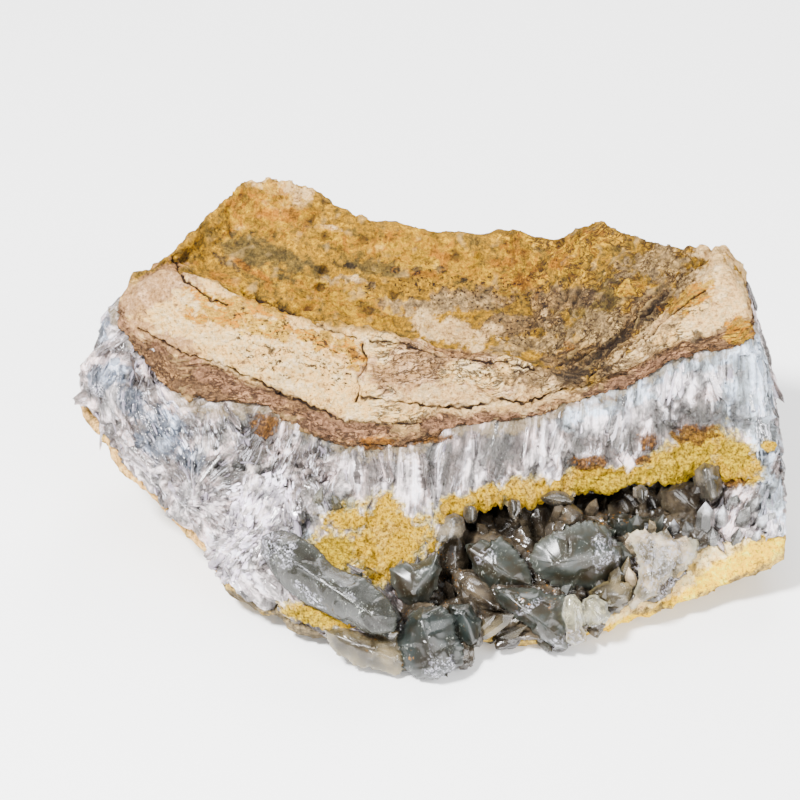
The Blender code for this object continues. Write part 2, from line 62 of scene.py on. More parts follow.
# Feature lines of the piece from its left end to its right end, the same as those of the solids
lines = {
    "rim": [
        (-57, 21, 57), (-48, 18.5, 56.3), (-41, 16, 54), (-35, 14, 52), (-31, 13, 50.5), (-20, 10, 48),
        (-14.5, 11, 46.5), (-5, 12, 45), (6, 9, 43), (13, 9, 42.5), (22.5, 7.5, 41.5), (30, 5, 40.5),
        (34, 4, 39.8), (41, 7.5, 42), (45, 9.5, 45), (49.5, 13, 48), (56, 19, 53), (62, 24, 57),
    ],
    "shoulder": [
        (-65, 14, 49), (-63, 13, 46), (-58, 12, 44), (-53, 9, 42), (-47, 9, 41), (-42, 8, 40), (-29, 3, 36),
        (-23, 1.5, 34), (-15, -1.5, 33), (-6, -1, 33), (3, 1, 33.5), (8, 2, 34), (21, 3, 34.5), (30, 6, 36),
        (35, 7, 37.5), (43, 8, 41), (52, 9.5, 45), (58, 10, 47), (67.5, 13, 50),
    ],
    "contact": [
        (-68, 15, 47), (-58, 8, 41), (-53, 4, 36), (-45, 2, 36), (-36, 1, 35), (-27, -3, 33), (-19, -7, 30),
        (-12, -7, 30), (-4, -6, 30), (3, -3, 31), (10, -2, 31.5), (19, 0, 32), (26, 1, 33), (34, 4, 35),
        (43, 6, 37), (52, 9, 41), (58, 10, 43), (64, 10, 44), (69.5, 11.5, 46),
    ],
    "lip": [
        (-75, 12, 34), (-68, 5, 30), (-59, -4, 27), (-50, -12, 25), (-41, -18, 23), (-33, -22, 20),
        (-24.5, -25, 17), (-16, -26, 14), (-8, -27, 12), (-1, -26, 12.5), (4, -17.5, 15), (11, -11, 17),
        (24, -9, 18), (37, -8, 19), (47, -7, 21), (58, -5, 23), (66, -7, 24), (74, -8.5, 24),
    ],
}


def pixelRay(u, v):
    middle = view["pixels"] / 2
    return (sideways * (u - middle) + upwards * (middle - v) - towardsEye * focal).normalized()


def lineAt(name, x):
    table = np.array(lines[name], float)
    return np.interp(x, table[:, 0], table[:, 1]), np.interp(x, table[:, 0], table[:, 2])


# Small helpers for numbers, noise and meshes


def smooth(value, low, high):
    share = np.clip((value - low) / (high - low), 0, 1)
    return share * share * (3 - 2 * share)


def layered(height):
    # Even layers, one for each whole number
    return np.abs(height % 1 - 0.5) * 2 - 0.5


def cloud(points, grain, octaves=3, shift=0.0):
    offset = Vector((shift, -shift, 2 * shift))
    return np.array([noise.fractal(Vector(p) / grain + offset, 1.0, 2.0, octaves) for p in points])


def ridges(points, grain, octaves, shift):
    offset = Vector((shift, -shift, 2 * shift))
    return np.array([
        noise.ridged_multi_fractal(Vector(p) / grain + offset, 0.9, 2.1, octaves, 1.0, 2.0) for p in points
    ])


def cells(points, grain, shift=0.0):
    # Distance to the nearest seed, distance to the cell's wall, and a fixed chance for each cell
    near, wall, chance = [], [], []
    for p in points / np.array(grain, float) + shift:
        distances, seeds = noise.voronoi(Vector(p))
        near.append(distances[0])
        wall.append(distances[1] - distances[0])
        seed = seeds[0]
        chance.append(math.sin(seed.x * 12.99 + seed.y * 78.23 + seed.z * 37.72) * 43758.5453)
    return np.array(near), np.array(wall), np.array(chance) % 1


def facetField(points, size, shift=0.0):
    # The height of small flat crystal faces that lean each their own way
    heights = []
    for p in points / size + shift:
        seed = noise.voronoi(Vector(p))[1][0]
        lean = noise.noise_vector(seed * 7.3)
        heights.append((Vector(p) - seed).dot(lean) * size)
    return np.array(heights)


def addPiece(name, data):
    piece = bpy.data.objects.new(name, data)
    bpy.context.scene.collection.objects.link(piece)
    return piece


def settled(piece):
    # The piece's modifiers become its mesh
    graph = bpy.context.evaluated_depsgraph_get()
    mesh = bpy.data.meshes.new_from_object(piece.evaluated_get(graph))
    piece.modifiers.clear()
    piece.data = mesh
    return piece


def meshOf(bm, name):
    mesh = bpy.data.meshes.new(name)
    bm.to_mesh(mesh)
    bm.free()
    return mesh


def closedMesh(name, corners, faces, triangles=False):
    # A mesh from points in millimetres, with its faces turned outwards
    mesh = bpy.data.meshes.new(name)
    mesh.from_pydata([tuple(p * mm) for p in corners], [], faces)
    bm = bmesh.new()
    bm.from_mesh(mesh)
    if triangles:
        bmesh.ops.triangulate(bm, faces=bm.faces)
    bmesh.ops.recalc_face_normals(bm, faces=bm.faces)
    bm.to_mesh(mesh)
    bm.free()
    return mesh


def refined(node, name, voxel):
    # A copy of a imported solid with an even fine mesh
    source = bmesh.new()
    source.from_mesh(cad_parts[node].data)
    bmesh.ops.remove_doubles(source, verts=source.verts, dist=0.001 * mm)
    piece = addPiece(name, meshOf(source, name))
    piece.data.materials.clear()
    remesh = piece.modifiers.new("even mesh", "REMESH")
    remesh.mode = "VOXEL"
    remesh.voxel_size = voxel * mm
    remesh.use_smooth_shade = True
    return settled(piece)


def finer(piece, wanted):
    # Halves the mesh's edges where a share of the points is wanted
    bm = bmesh.new()
    bm.from_mesh(piece.data)
    edges = {
        edge for face in bm.faces if max(wanted[v.index] for v in face.verts) > 0.15 for edge in face.edges
    }
    bmesh.ops.subdivide_edges(bm, edges=list(edges), cuts=1, use_grid_fill=True)
    bm.to_mesh(piece.data)
    bm.free()


def readVectors(items, name):
    found = np.empty(len(items) * 3)
    items.foreach_get(name, found)
    return found.reshape(-1, 3)


def pointsOf(piece):
    return readVectors(piece.data.vertices, "co") / mm


def normalsOf(piece):
    return readVectors(piece.data.vertex_normals, "vector")


def setPoints(piece, points):
    piece.data.vertices.foreach_set("co", (points * mm).ravel())
    piece.data.update()


def setMask(piece, name, values):
    layer = piece.data.attributes.new(name, "FLOAT", "POINT")
    layer.data.foreach_set("value", np.asarray(values, float))


def setVectors(piece, name, values):
    layer = piece.data.attributes.new(name, "FLOAT_VECTOR", "POINT")
    layer.data.foreach_set("vector", np.asarray(values, float).ravel())


def setReliefShade(piece, push, share):
    # How far a point stands out or lies deep, for painted shade where it lies deep and, on the host rock,
    # painted highlight where it stands out
    setMask(piece, "relief", np.clip(0.5 + share * (push - rock["overlap"]), 0, 1))


def seenFrom(pieces):
    # One tree of several pieces, in which a pixel's ray finds the first surface it meets
    corners, polygons, start = [], [], 0
    for piece in pieces:
        corners += [tuple(p) for p in pointsOf(piece)]
        polygons += [[start + i for i in face.vertices] for face in piece.data.polygons]
        start = len(corners)
    return BVHTree.FromPolygons(corners, polygons)


def placeOf(tree, u, v):
    # The point that is seen at a pixel
    insideU, insideV = view["inside"]
    hit = tree.ray_cast(eye, pixelRay(u, v))[0]
    for step in range(1, view["nudges"] + 1):
        if hit:
            break
        hit = tree.ray_cast(eye, pixelRay(
            u + (insideU - u) * step * view["nudge"], v + (insideV - v) * step * view["nudge"],
        ))[0]
    return hit


def onPhoto(points):
    # Where points are seen in the photograph, in pixels
    away = points - np.array(eye)
    deep = -away @ eyeWay
    half = view["pixels"] / 2
    return half + focal * (away @ rightWay) / deep, half - focal * (away @ upWay) / deep


# A mark fades out between these shares of its size, and reaches this far in depth
marking = {"full": 0.65, "gone": 1.35, "depthShare": 1.7, "extraDepth": 10}


def spots(points, tree, marks, ragged, wander):
    # Soft-edged marks, each (u, v, half width, half height, turn in degrees) as it is seen
    total = np.zeros(len(points))
    for u, v, wide, high, turn in marks:
        away = points - np.array(placeOf(tree, u, v))
        across, along, deep = (away @ way * pixelsPerMm for way in (rightWay, upWay, eyeWay))
        c, s = math.cos(math.radians(turn)), math.sin(math.radians(turn))
        a, b = across * c + along * s, along * c - across * s
        reach = marking["depthShare"] * max(wide, high) + marking["extraDepth"]
        far = np.sqrt((a / wide) ** 2 + (b / high) ** 2 + (deep / reach) ** 2) + ragged * wander
        total = np.maximum(total, smooth(-far, -marking["gone"], -marking["full"]))
    return total


# The three bodies of rock and the hollow's lining, as even fine meshes

rock = {"hostVoxel": 0.66, "bandVoxel": 0.78, "rindVoxel": 0.85, "liningVoxel": 0.4, "overlap": 0.22}
host = refined("host_rock", "hostRock", rock["hostVoxel"])
band = refined("celestite", "fibrousBand", rock["bandVoxel"])
rind = refined("rind", "yellowRind", rock["rindVoxel"])
crust = refined("cavity_crystals", "crystalCrust", rock["liningVoxel"])
surfaces = seenFrom([host, band, rind])
rockOnly = seenFrom([host])
print("bodies:", [len(piece.data.polygons) * 2 for piece in (host, band, rind, crust)])

# The host rock: a granular dish behind the rim, a cream block in front, thin pink layers below it

hostLook = {
    "dishGrain": 3.4, "dishRelief": 0.75, "pitRelief": 1.1, "strataStep": 2.6, "strataRelief": 1.2,
    "faceGrain": 6.0, "faceRelief": 0.4, "laminaStep": 0.95, "laminaRelief": 0.5, "blockStep": 1.5,
    "blockRelief": 0.4, "crumbs": (2.2, 2.2, 1.8), "pits": (4.6, 4.6, 3.6), "noPit": 0.8,
    "crackWidth": 0.28, "crackShade": 0.34, "crackDepth": 0.9, "finerNear": (0.95, 0.5), "ragged": 0.6,
    # Marks as (u, v, half width, half height, turn)
    "ochre": [
        (240, 318, 44, 8, -14), (310, 338, 40, 9, -14), (345, 350, 20, 12, -30), (270, 334, 30, 5, -12),
        (262, 212, 55, 26, 0), (410, 246, 70, 16, -6), (330, 238, 34, 14, -8), (520, 264, 26, 30, 0),
        (575, 252, 34, 22, 10), (240, 306, 50, 8, -12), (215, 318, 26, 7, -8), (290, 330, 60, 7, -14),
        (737, 332, 14, 12, 0), (630, 288, 16, 7, 10), (460, 268, 60, 12, -4), (225, 282, 34, 6, -32),
        (690, 300, 26, 12, 30), (335, 298, 60, 20, -14),
    ],
    "rust": [
        (250, 195, 3, 3, 0), (286, 195, 3, 3, 0), (268, 215, 12, 5, -10), (290, 216, 7, 7, 0),
        (557, 264, 6, 5, 0), (570, 346, 8, 6, 0), (352, 352, 12, 5, -30), (380, 441, 22, 4, 2),
        (500, 262, 16, 5, 0), (440, 255, 14, 4, -10), (735, 331, 12, 2.5, 10), (250, 270, 20, 3, -30),
        (520, 280, 8, 8, 0),
    ],
    "olive": [
        (250, 246, 30, 18, -22), (300, 262, 40, 10, -20), (330, 290, 60, 18, -16), (380, 268, 40, 10, 0),
        (600, 300, 46, 16, 20),
    ],
    # Dark marks are painted shade in pits and along cracks
    "dark": [
        (348, 266, 12, 2.5, -8), (395, 269, 4, 3, 0), (418, 269, 4, 3, 0), (442, 269, 5, 3.5, 0),
        (464, 279, 5, 3.5, 0), (697, 338, 6, 8, 0), (655, 307, 22, 3.5, 42), (612, 345, 56, 5, 38),
        (645, 318, 40, 4, 40), (578, 374, 26, 6, 10), (225, 262, 16, 3, -34), (270, 350, 4, 3, 0),
    ],
    "pepper": [
        (300, 335, 60, 12, -14), (262, 355, 34, 16, -20), (480, 371, 42, 11, -4), (582, 366, 26, 15, 10),
        (620, 345, 50, 18, 38), (470, 290, 110, 18, -4), (310, 358, 26, 16, 0), (345, 372, 16, 20, 0),
        (530, 330, 60, 20, -8), (330, 345, 40, 8, -20),
    ],
    "brown": [
        (600, 350, 62, 26, 14), (645, 312, 60, 18, 38), (520, 322, 50, 12, 6), (470, 300, 60, 12, 4),
        (380, 306, 40, 9, -6), (560, 300, 40, 14, 10), (560, 375, 60, 12, 10), (310, 230, 24, 5, -16),
    ],
    "taupe": [
        (655, 260, 40, 16, 6), (430, 306, 60, 10, 4), (590, 330, 40, 16, 12), (690, 285, 26, 14, 36),
        (540, 345, 50, 10, 6), (345, 282, 30, 7, -10), (665, 320, 40, 12, 38),
    ],
    "cream": [
        (280, 185, 38, 10, -24), (450, 331, 40, 17, -8), (733, 298, 24, 26, 0), (716, 276, 30, 14, 34),
        (332, 228, 16, 4, -8), (650, 334, 40, 5, 38), (480, 400, 90, 14, 0), (355, 279, 5, 4, 0),
        (380, 248, 4, 3, 0), (265, 203, 3, 2.5, 0), (239, 228, 5, 3, 0), (545, 313, 4, 3, 0),
        (700, 325, 22, 12, 20), (738, 264, 18, 20, 0), (268, 180, 26, 9, 0), (300, 197, 26, 8, 34),
        (712, 250, 26, 8, 10),
    ],
    "pink": [
        (400, 375, 40, 26, 0), (470, 395, 80, 12, 0), (160, 340, 60, 12, -28), (230, 385, 60, 9, -24),
        (330, 425, 60, 10, -12), (480, 420, 70, 9, 6), (640, 375, 60, 9, 24), (150, 290, 42, 22, 30),
        (440, 352, 60, 8, -8),
    ],
}
# Seams that run along chosen pixels: cut in as cracks, with painted shade along them
seams = {
    "under the rim": [(230, 290), (262, 302), (300, 316), (333, 332), (356, 338)],
    "across the block": [(362, 345), (366, 362), (358, 378), (362, 392), (356, 402)],
    "block's top": [(372, 342), (410, 345), (448, 356), (500, 362), (560, 372)],
    "under the block": [(362, 400), (400, 402), (430, 405), (470, 406), (530, 400), (587, 382)],
    "under the cream": [(140, 330), (180, 352), (230, 368), (292, 398), (345, 421), (420, 424)],
    "at the left bevel": [(172, 258), (184, 280), (210, 300), (228, 306)],
    "right of the dish": [(560, 366), (600, 350), (640, 318), (672, 290), (690, 270)],
    "low in the wall": [(590, 378), (632, 350), (668, 320), (705, 290)],
}


def seamDistance(points):
    # Distance in millimetres, as it is seen, to the seams
    u, v = onPhoto(points)
    nearest = np.full(len(points), 1e3)
    for track in seams.values():
        for (u0, v0), (u1, v1) in zip(track, track[1:]):
            share = ((u - u0) * (u1 - u0) + (v - v0) * (v1 - v0)) / ((u1 - u0) ** 2 + (v1 - v0) ** 2)
            share = np.clip(share, 0, 1)
            nearest = np.minimum(nearest, np.hypot(u - u0 - share * (u1 - u0), v - v0 - share * (v1 - v0)))
    return nearest / pixelsPerMm


def shapeHost():
    for reach in hostLook["finerNear"]:
        near = seamDistance(pointsOf(host)) < reach
        finer(host, near * (normalsOf(host) @ eyeWay > 0))
    points, normals = pointsOf(host), normalsOf(host)
    x, y, z = points.T
    rimY, shoulderZ, contactZ = lineAt("rim", x)[0], lineAt("shoulder", x)[1], lineAt("contact", x)[1]
    coarse = cloud(points, hostLook["faceGrain"], 4)
    fine = cloud(points, 1.5, 3, 5.0)
    ragged = coarse + 0.8 * fine
    behind = smooth(y + 0.8 * coarse, rimY - 0.5, rimY + 1.5)
    rear = smooth(normals[:, 1], 0.1, 0.5) * smooth(y, 30, 38)
    dish = behind * (1 - rear) * smooth(z, contactZ - 2, contactZ + 3)
    layers = (1 - behind) * smooth(-z - 0.7 * ragged, -shoulderZ - 1.0, -shoulderZ + 0.6)
    face = (1 - behind) * (1 - layers)
    right = smooth(x, -13, -9)

    # Strata on the dish's right wall run along the rim, and stand out as broken steps
    bedding = points @ np.array((-0.5, 0.85, -0.17)) + 1.6 * coarse + 0.35 * fine
    stepShare = (bedding / hostLook["strataStep"]) % 1
    strata = np.where(stepShare < 0.8, stepShare / 0.8, (1 - stepShare) / 0.2) - 0.5
    wall = dish * smooth(x + 0.5 * (y - 10), 22, 40)

    near, _, chance = cells(points, hostLook["crumbs"])
    crumbs = (0.5 - near) * 0.6 + (chance - 0.5) * 0.35
    hollow, _, hollowChance = cells(points + 0.5 * fine[:, None], hostLook["pits"], 9.0)
    pits = -smooth(-hollow, -0.42, -0.1) * (hollowChance > hostLook["noPit"])
    grain = cloud(points, hostLook["dishGrain"], 5, 3.0)
    creases = ridges(points, 5.0, 4, 2.0)

    # The thin layers follow the contact with the band
    height = (z - contactZ) + 0.9 * coarse + 0.3 * fine
    lamina = layered(height / hostLook["laminaStep"])
    blockLayer = layered(height / hostLook["blockStep"] + 0.2)

    push = rock["overlap"] + 0.14 * fine
    granular = hostLook["dishRelief"] * (grain + 1.3 * crumbs) + hostLook["pitRelief"] * pits
    push += dish * (1 - 0.5 * wall) * granular
    push -= dish * 0.22 * (creases - 1.0)
    push += wall * hostLook["strataRelief"] * strata
    push += face * hostLook["faceRelief"] * (coarse + 0.6 * crumbs)
    push += face * right * hostLook["blockRelief"] * blockLayer
    push += layers * hostLook["laminaRelief"] * (lamina * 1.6 + 1.4 * coarse)
    push += rear * 0.6 * (grain + crumbs)
    wander = np.stack([0.9 * coarse + 0.25 * fine, 0.4 * fine, 0.3 * fine - 0.9 * coarse], 1)
    seam = seamDistance(points + wander)
    seen = smooth(normals @ eyeWay, -0.1, 0.15) * (1 - rear)
    seen = seen * (0.62 + 0.38 * smooth(cloud(points, 5.0, 3, 6.0), -0.2, 0.2))
    push -= hostLook["crackDepth"] * np.exp(-(seam / hostLook["crackWidth"]) ** 2) * seen
    setPoints(host, points + normals * push[:, None])

    # Places in which the fine layers of the stone lie flat
    flat = np.stack([x * 0.2, y * 0.5, height], 1)
    steep = np.stack([points @ np.array((0.17, 0.1, 0.0)), bedding, points @ np.array((0.1, 0.1, 0.5))], 1)
    bowl = np.stack([x * 0.45, y * 0.9, z * 0.9], 1)
    bed = np.where((wall > 0.5)[:, None], steep, np.where((dish + rear > 0.5)[:, None], bowl, flat))
    setVectors(host, "bed", bed * mm)
    setMask(host, "dish", np.clip(dish + rear, 0, 1))
    setMask(host, "layers", layers)
    setMask(host, "lined", np.clip(wall + layers + 0.9 * face * right + 0.25 * face + 0.3 * dish, 0, 1))
    setReliefShade(host, push, 0.45)
    # Painted shade along the cracks, on the faces that look forward
    setMask(host, "seam", np.exp(-(seam / hostLook["crackShade"]) ** 2) * seen)
    for name in ("ochre", "rust", "olive", "brown", "taupe", "dark", "pepper", "cream", "pink"):
        setMask(host, name, spots(points, rockOnly, hostLook[name], hostLook["ragged"], ragged))


shapeHost()
print("host rock shaped, triangles:", sum(len(face.vertices) - 2 for face in host.data.polygons))

# The band: crystals that grow in fans from the rock, with limonite crusts on their lower ends

bandLook = {
    "column": 2.5, "columnRelief": 1.0, "needle": 0.9, "needleRelief": 0.3, "stretch": 0.10,
    "lift": 0.10, "lumpRelief": 0.35, "crustRelief": 1.1, "crustGrain": 1.8, "ragged": 0.45,
    "facet": 6.0, "facetRelief": 0.7, "smallFacet": 2.4, "smallFacetRelief": 0.2, "holeDepth": 1.3,
    "foilFacet": 1.9, "foilRelief": 0.5, "bareAhead": (3.0, 6.0),
    # Fans as (pixel of the middle, pixel that the crystals radiate from, depth of that point)
    "fans": [
        ((755, 390), (735, 215), 20), ((700, 400), (700, 230), 18), ((640, 425), (655, 240), 18),
        ((580, 445), (600, 260), 18), ((520, 455), (545, 270), 18), ((460, 480), (480, 300), 18),
        ((405, 490), (405, 320), 18), ((352, 480), (345, 330), 18), ((300, 455), (330, 350), 14),
        ((262, 440), (300, 360), 14), ((225, 430), (190, 330), 12), ((165, 425), (110, 330), 16),
        ((110, 380), (150, 320), 12), ((150, 470), (110, 400), 12), ((212, 478), (193, 500), 2),
        ((190, 520), (193, 496), 2), ((268, 515), (205, 620), 8), ((240, 560), (300, 520), 6),
        ((320, 575), (235, 525), 6), ((300, 510), (280, 420), 8), ((250, 590), (210, 540), 8),
        ((750, 510), (790, 440), 12), ((695, 540), (760, 600), 8),
    ],
    # Marks as the host rock's
    "yellow": [
        (385, 540, 42, 36, 0), (350, 520, 24, 10, 0), (334, 553, 20, 26, 0), (454, 507, 13, 11, 10),
        (482, 500, 22, 13, 12), (530, 490, 28, 14, 8), (603, 480, 32, 16, 4), (676, 462, 38, 22, 26),
        (733, 462, 22, 26, 20), (318, 616, 34, 9, -10), (444, 520, 9, 7, 0), (768, 447, 6, 5, 0),
        (640, 474, 16, 8, 10), (560, 486, 18, 9, 10), (700, 444, 20, 12, 20),
    ],
    "lemon": [
        (333, 552, 20, 28, 0), (678, 462, 36, 18, 26), (605, 484, 30, 9, 6), (735, 452, 16, 14, 0),
        (310, 616, 24, 8, -10),
    ],
    "rust": [
        (590, 461, 21, 8, 4), (648, 441, 12, 9, 0), (692, 435, 22, 10, 10), (268, 425, 15, 10, 0),
        (735, 481, 11, 10, 0), (640, 458, 12, 5, 0), (430, 440, 26, 4, 6), (366, 446, 20, 4, -8),
    ],
    "blue": [
        (112, 380, 19, 20, -30), (165, 430, 22, 28, -30), (130, 402, 24, 12, -40), (190, 458, 15, 13, 0),
        (145, 440, 18, 14, -40), (302, 552, 40, 20, -38), (180, 225, 40, 20, 30), (95, 320, 14, 30, 20),
        (230, 575, 20, 16, 0),
    ],
    "paleBlue": [
        (745, 380, 36, 52, 0), (660, 385, 80, 20, 18), (595, 415, 50, 14, 12), (765, 440, 22, 34, 0),
        (772, 505, 14, 34, 0), (700, 372, 60, 18, 16),
    ],
    "white": [
        (595, 427, 11, 10, 0), (266, 514, 36, 38, 0), (235, 548, 28, 28, 0), (398, 490, 24, 36, 0),
        (196, 500, 30, 20, 0), (140, 345, 40, 12, -28), (112, 400, 10, 20, -30), (640, 415, 60, 12, 14),
        (540, 470, 20, 20, 0), (470, 470, 14, 24, 0), (435, 500, 8, 24, 0), (350, 474, 12, 22, 0),
        (690, 385, 40, 12, 14), (215, 590, 22, 12, -40), (255, 590, 34, 18, -20), (760, 525, 18, 14, 0),
        (150, 476, 24, 16, -30), (245, 600, 30, 12, -24), (205, 398, 22, 9, -20), (550, 440, 12, 26, 0),
    ],
    "clear": [
        (302, 520, 18, 20, 0), (252, 468, 26, 12, -10), (316, 492, 14, 14, 0), (340, 503, 14, 10, 0),
        (365, 596, 34, 18, -38), (350, 452, 34, 10, 0), (500, 445, 14, 24, 0), (570, 455, 16, 16, 0),
        (768, 432, 14, 16, 0), (235, 428, 20, 14, 0), (440, 455, 16, 16, 0), (210, 440, 18, 18, 0),
        (622, 440, 12, 16, 0), (705, 412, 18, 16, 0), (310, 440, 30, 10, 0), (665, 420, 14, 14, 0),
        (740, 415, 10, 20, 0), (225, 470, 16, 14, 0),
    ],
    "holes": [
        (217, 448, 4, 3.5, 0), (240, 467, 8, 4, -16), (263, 472, 9, 5, 20), (300, 522, 11, 11, 0),
        (288, 484, 5, 4, 0), (352, 500, 5, 4, 0), (372, 572, 12, 5, -30),
    ],
    "foil": [(268, 512, 34, 34, 0), (248, 545, 22, 18, 0), (225, 575, 14, 14, 0)],
    "stubby": [
        (120, 385, 50, 50, -30), (170, 425, 54, 44, -35), (240, 450, 50, 34, 0), (300, 470, 40, 34, 0),
        (330, 500, 30, 20, 0), (750, 515, 34, 30, 0), (90, 320, 20, 40, 20), (185, 480, 44, 40, 0),
        (760, 430, 22, 30, 0), (200, 540, 30, 30, 0), (150, 345, 50, 20, -28),
    ],
    "tongue": [(330, 580, 70, 26, -39)],
}


def growth(points, tree):
    # Which fan a point belongs to gives its growth direction, and a place in which fibres are straight
    wander = np.stack([cloud(points, 7.0, 2, s) for s in (1.0, 4.0, 8.0)], 1) * 2.2
    seats, roots = [], []
    for (u, v), (rootU, rootV), depth in bandLook["fans"]:
        seat = placeOf(tree, u, v)
        root = seat + sideways * (rootU - u) / pixelsPerMm + upwards * (v - rootV) / pixelsPerMm
        seats.append(seat)
        roots.append(root - towardsEye * depth)
    seats, roots = np.array(seats), np.array(roots)
    distance = np.linalg.norm((points + wander)[:, None] - seats[None], axis=2)
    chosen = distance.argmin(1)
    away = points - roots[chosen]
    reach = np.linalg.norm(away, axis=1)[:, None]
    way = away / reach
    typical = np.linalg.norm(seats - roots, axis=1)[chosen][:, None]
    drift = np.array((0.35, 0.25, 0.9)) * (reach - typical) * bandLook["stretch"]
    return way, way * typical + drift + chosen[:, None] * 3.7


def bandSpots(points, name, wander):
    return spots(points, surfaces, bandLook[name], bandLook["ragged"], wander)


def shapeBand():
    start = pointsOf(band)
    finer(band, bandSpots(start, "yellow", cloud(start, 6.0, 2)))
    points, normals = pointsOf(band), normalsOf(band)
    x, y, z = points.T
    contactZ = lineAt("contact", x)[1]
    lipY, lipZ = lineAt("lip", x)
    coarse = cloud(points, 6.0, 4)
    fine = cloud(points, 1.4, 3, 5.0)
    ragged = coarse + 0.8 * fine
    way, fibre = growth(points, surfaces)
    _, gap, chance = cells(fibre, (bandLook["column"],) * 3)
    _, gapFine, chanceFine = cells(fibre, (bandLook["needle"],) * 3, 6.0)
    columns = (chance - 0.5) * 1.3 + smooth(gap, 0.0, 0.25) * 0.6 - 0.4
    needles = (chanceFine - 0.5) + smooth(gapFine, 0.0, 0.2) * 0.4
    masks = {name: bandSpots(points, name, ragged) for name in (
        "yellow", "lemon", "rust", "blue", "paleBlue", "white", "clear", "holes", "foil", "stubby", "tongue",
    )}
    earthy = smooth(masks["yellow"], 0.2, 0.7)
    outer = 1 - smooth(normals[:, 1], 0.3, 0.7)
    upper = smooth(contactZ - z, -2, 1.5)
    smoothTongue = 1 - 0.8 * masks["tongue"]
    chunky = masks["stubby"] * (1 - earthy) * smoothTongue
    fibrous = (1 - earthy) * smoothTongue * upper
    crumbs = 0.5 - cells(points, (bandLook["crustGrain"],) * 3, 3.0)[0]
    grains = 0.5 - cells(points, (0.9,) * 3, 8.0)[0]
    push = rock["overlap"] + bandLook["lumpRelief"] * coarse * smoothTongue
    strands = bandLook["columnRelief"] * columns + bandLook["needleRelief"] * needles
    push += fibrous * (1 - 0.8 * chunky) * strands
    push += chunky * bandLook["facetRelief"] * facetField(points, bandLook["facet"], 1.0)
    push += chunky * bandLook["smallFacetRelief"] * facetField(points, bandLook["smallFacet"], 2.0)
    limonite = bandLook["crustRelief"] * (0.6 + 1.2 * crumbs + 0.8 * coarse)
    push += earthy * (limonite + 0.6 * grains + 0.4 * fine)
    push -= bandLook["holeDepth"] * masks["holes"]
    push += masks["foil"] * bandLook["foilRelief"] * facetField(points, bandLook["foilFacet"], 4.0)
    moved = points + normals * push[:, None] + way * (fibrous * outer * (chance - 0.5) * 0.8)[:, None]
    # The limonite hangs over the lip in uneven lobes
    hanging = smooth(2.6 - np.hypot(y - lipY, z - lipZ), 0, 1.4) * (x > -32) * (x < 68)
    moved[:, 2] -= earthy * hanging * (0.9 + 1.4 * np.clip(coarse + 0.4 * crumbs, -0.5, 1))
    setPoints(band, moved)
    for name, values in masks.items():
        setMask(band, name, values)
    setReliefShade(band, push, 0.4)
    # Painted shade in the gaps between the columns
    setMask(band, "seam", (1 - smooth(gap, 0.02, 0.18)) * (1 - earthy) * (1 - chunky))
    setMask(band, "topEdge", smooth(z, contactZ - 2.2, contactZ - 0.2) * smooth(-y, -30, -20))

    # Where crystals may stand: not on or just above limonite, at the rock or along the outline
    ahead = np.zeros(len(points))
    for reach in bandLook["bareAhead"]:
        for name in ("yellow", "rust"):
            ahead = np.maximum(ahead, bandSpots(points + way * reach, name, ragged))
    bare = (1 - smooth(masks["yellow"], 0, 0.4)) * (1 - masks["rust"]) * (1 - smooth(ahead, 0.1, 0.5))
    bare *= 1 - smooth(z, contactZ - 1.8, contactZ - 0.4)
    bare *= 1 - 0.97 * np.exp(-(normals @ eyeWay / 0.22) ** 2)
    facing = smooth(normals @ eyeWay, 0.25, 0.5)
    calm = smooth(normals @ eyeWay, 0.45, 0.75)
    onBlock = bare * masks["stubby"] * (1 - masks["tongue"]) * (1 - masks["foil"])
    setMask(band, "shards", bare * upper * (1 - 0.95 * masks["stubby"]) * (1 - 0.96 * masks["tongue"]))
    setMask(band, "foilZone", bare * masks["foil"] * (1 - masks["tongue"]) * facing)
    setMask(band, "fans", onBlock * calm)
    setMask(band, "blades", onBlock * facing)
    setVectors(band, "fibre", fibre * mm)
    flat = way - normals * (way * normals).sum(1)[:, None]
    flat = flat / np.maximum(np.linalg.norm(flat, axis=1)[:, None], 0.2)
    setVectors(band, "grow", flat + normals * bandLook["lift"])


shapeBand()
print("band shaped")

# The rind: a granular yellow slab at the lower right, a thin tan skin at the left

rindLook = {
    "grain": 3.2, "relief": 0.5, "crumb": 1.9, "bedding": 1.2, "beddingRelief": 0.3, "ragged": 0.4,
    # The rind's colours are painted lighter to make up for the light that does not reach it
    "lit": 0.46,  # the share of the studio's light that falls on it
    "cream": [(706, 550, 40, 14, 22), (655, 590, 44, 16, 28), (640, 598, 30, 12, 20), (600, 618, 20, 8, 0)],
    "yellow": [
        (745, 560, 46, 14, 22), (700, 584, 60, 9, 24), (625, 622, 36, 9, 14), (320, 618, 30, 8, -14),
    ],
    "dark": [
        (292, 626, 46, 16, -24), (340, 650, 30, 12, -24), (240, 604, 26, 6, -34), (390, 672, 40, 8, -8),
    ],
    "tan": [(90, 415, 14, 24, 30), (125, 465, 16, 36, 38), (165, 512, 16, 36, 40), (200, 555, 14, 30, 30)],
}


def shapeRind():
    points, normals = pointsOf(rind), normalsOf(rind)
    coarse = cloud(points, rindLook["grain"], 4, 2.0)
    fine = cloud(points, 1.2, 3, 5.0)
    crumbs = 0.5 - cells(points, (rindLook["crumb"],) * 3)[0]
    layer = layered((points[:, 2] + 1.2 * coarse) / rindLook["bedding"])
    above = smooth(points[:, 2], 0.2, 1.4)  # the underside stays flat
    push = rock["overlap"] + rindLook["relief"] * (coarse + 0.8 * crumbs) + rindLook["beddingRelief"] * layer
    push = push * above
    setPoints(rind, points + normals * push[:, None])
    for name in ("cream", "yellow", "dark", "tan"):
        setMask(rind, name, spots(points, surfaces, rindLook[name], rindLook["ragged"], coarse + 0.8 * fine))
    setReliefShade(rind, push, 0.4)


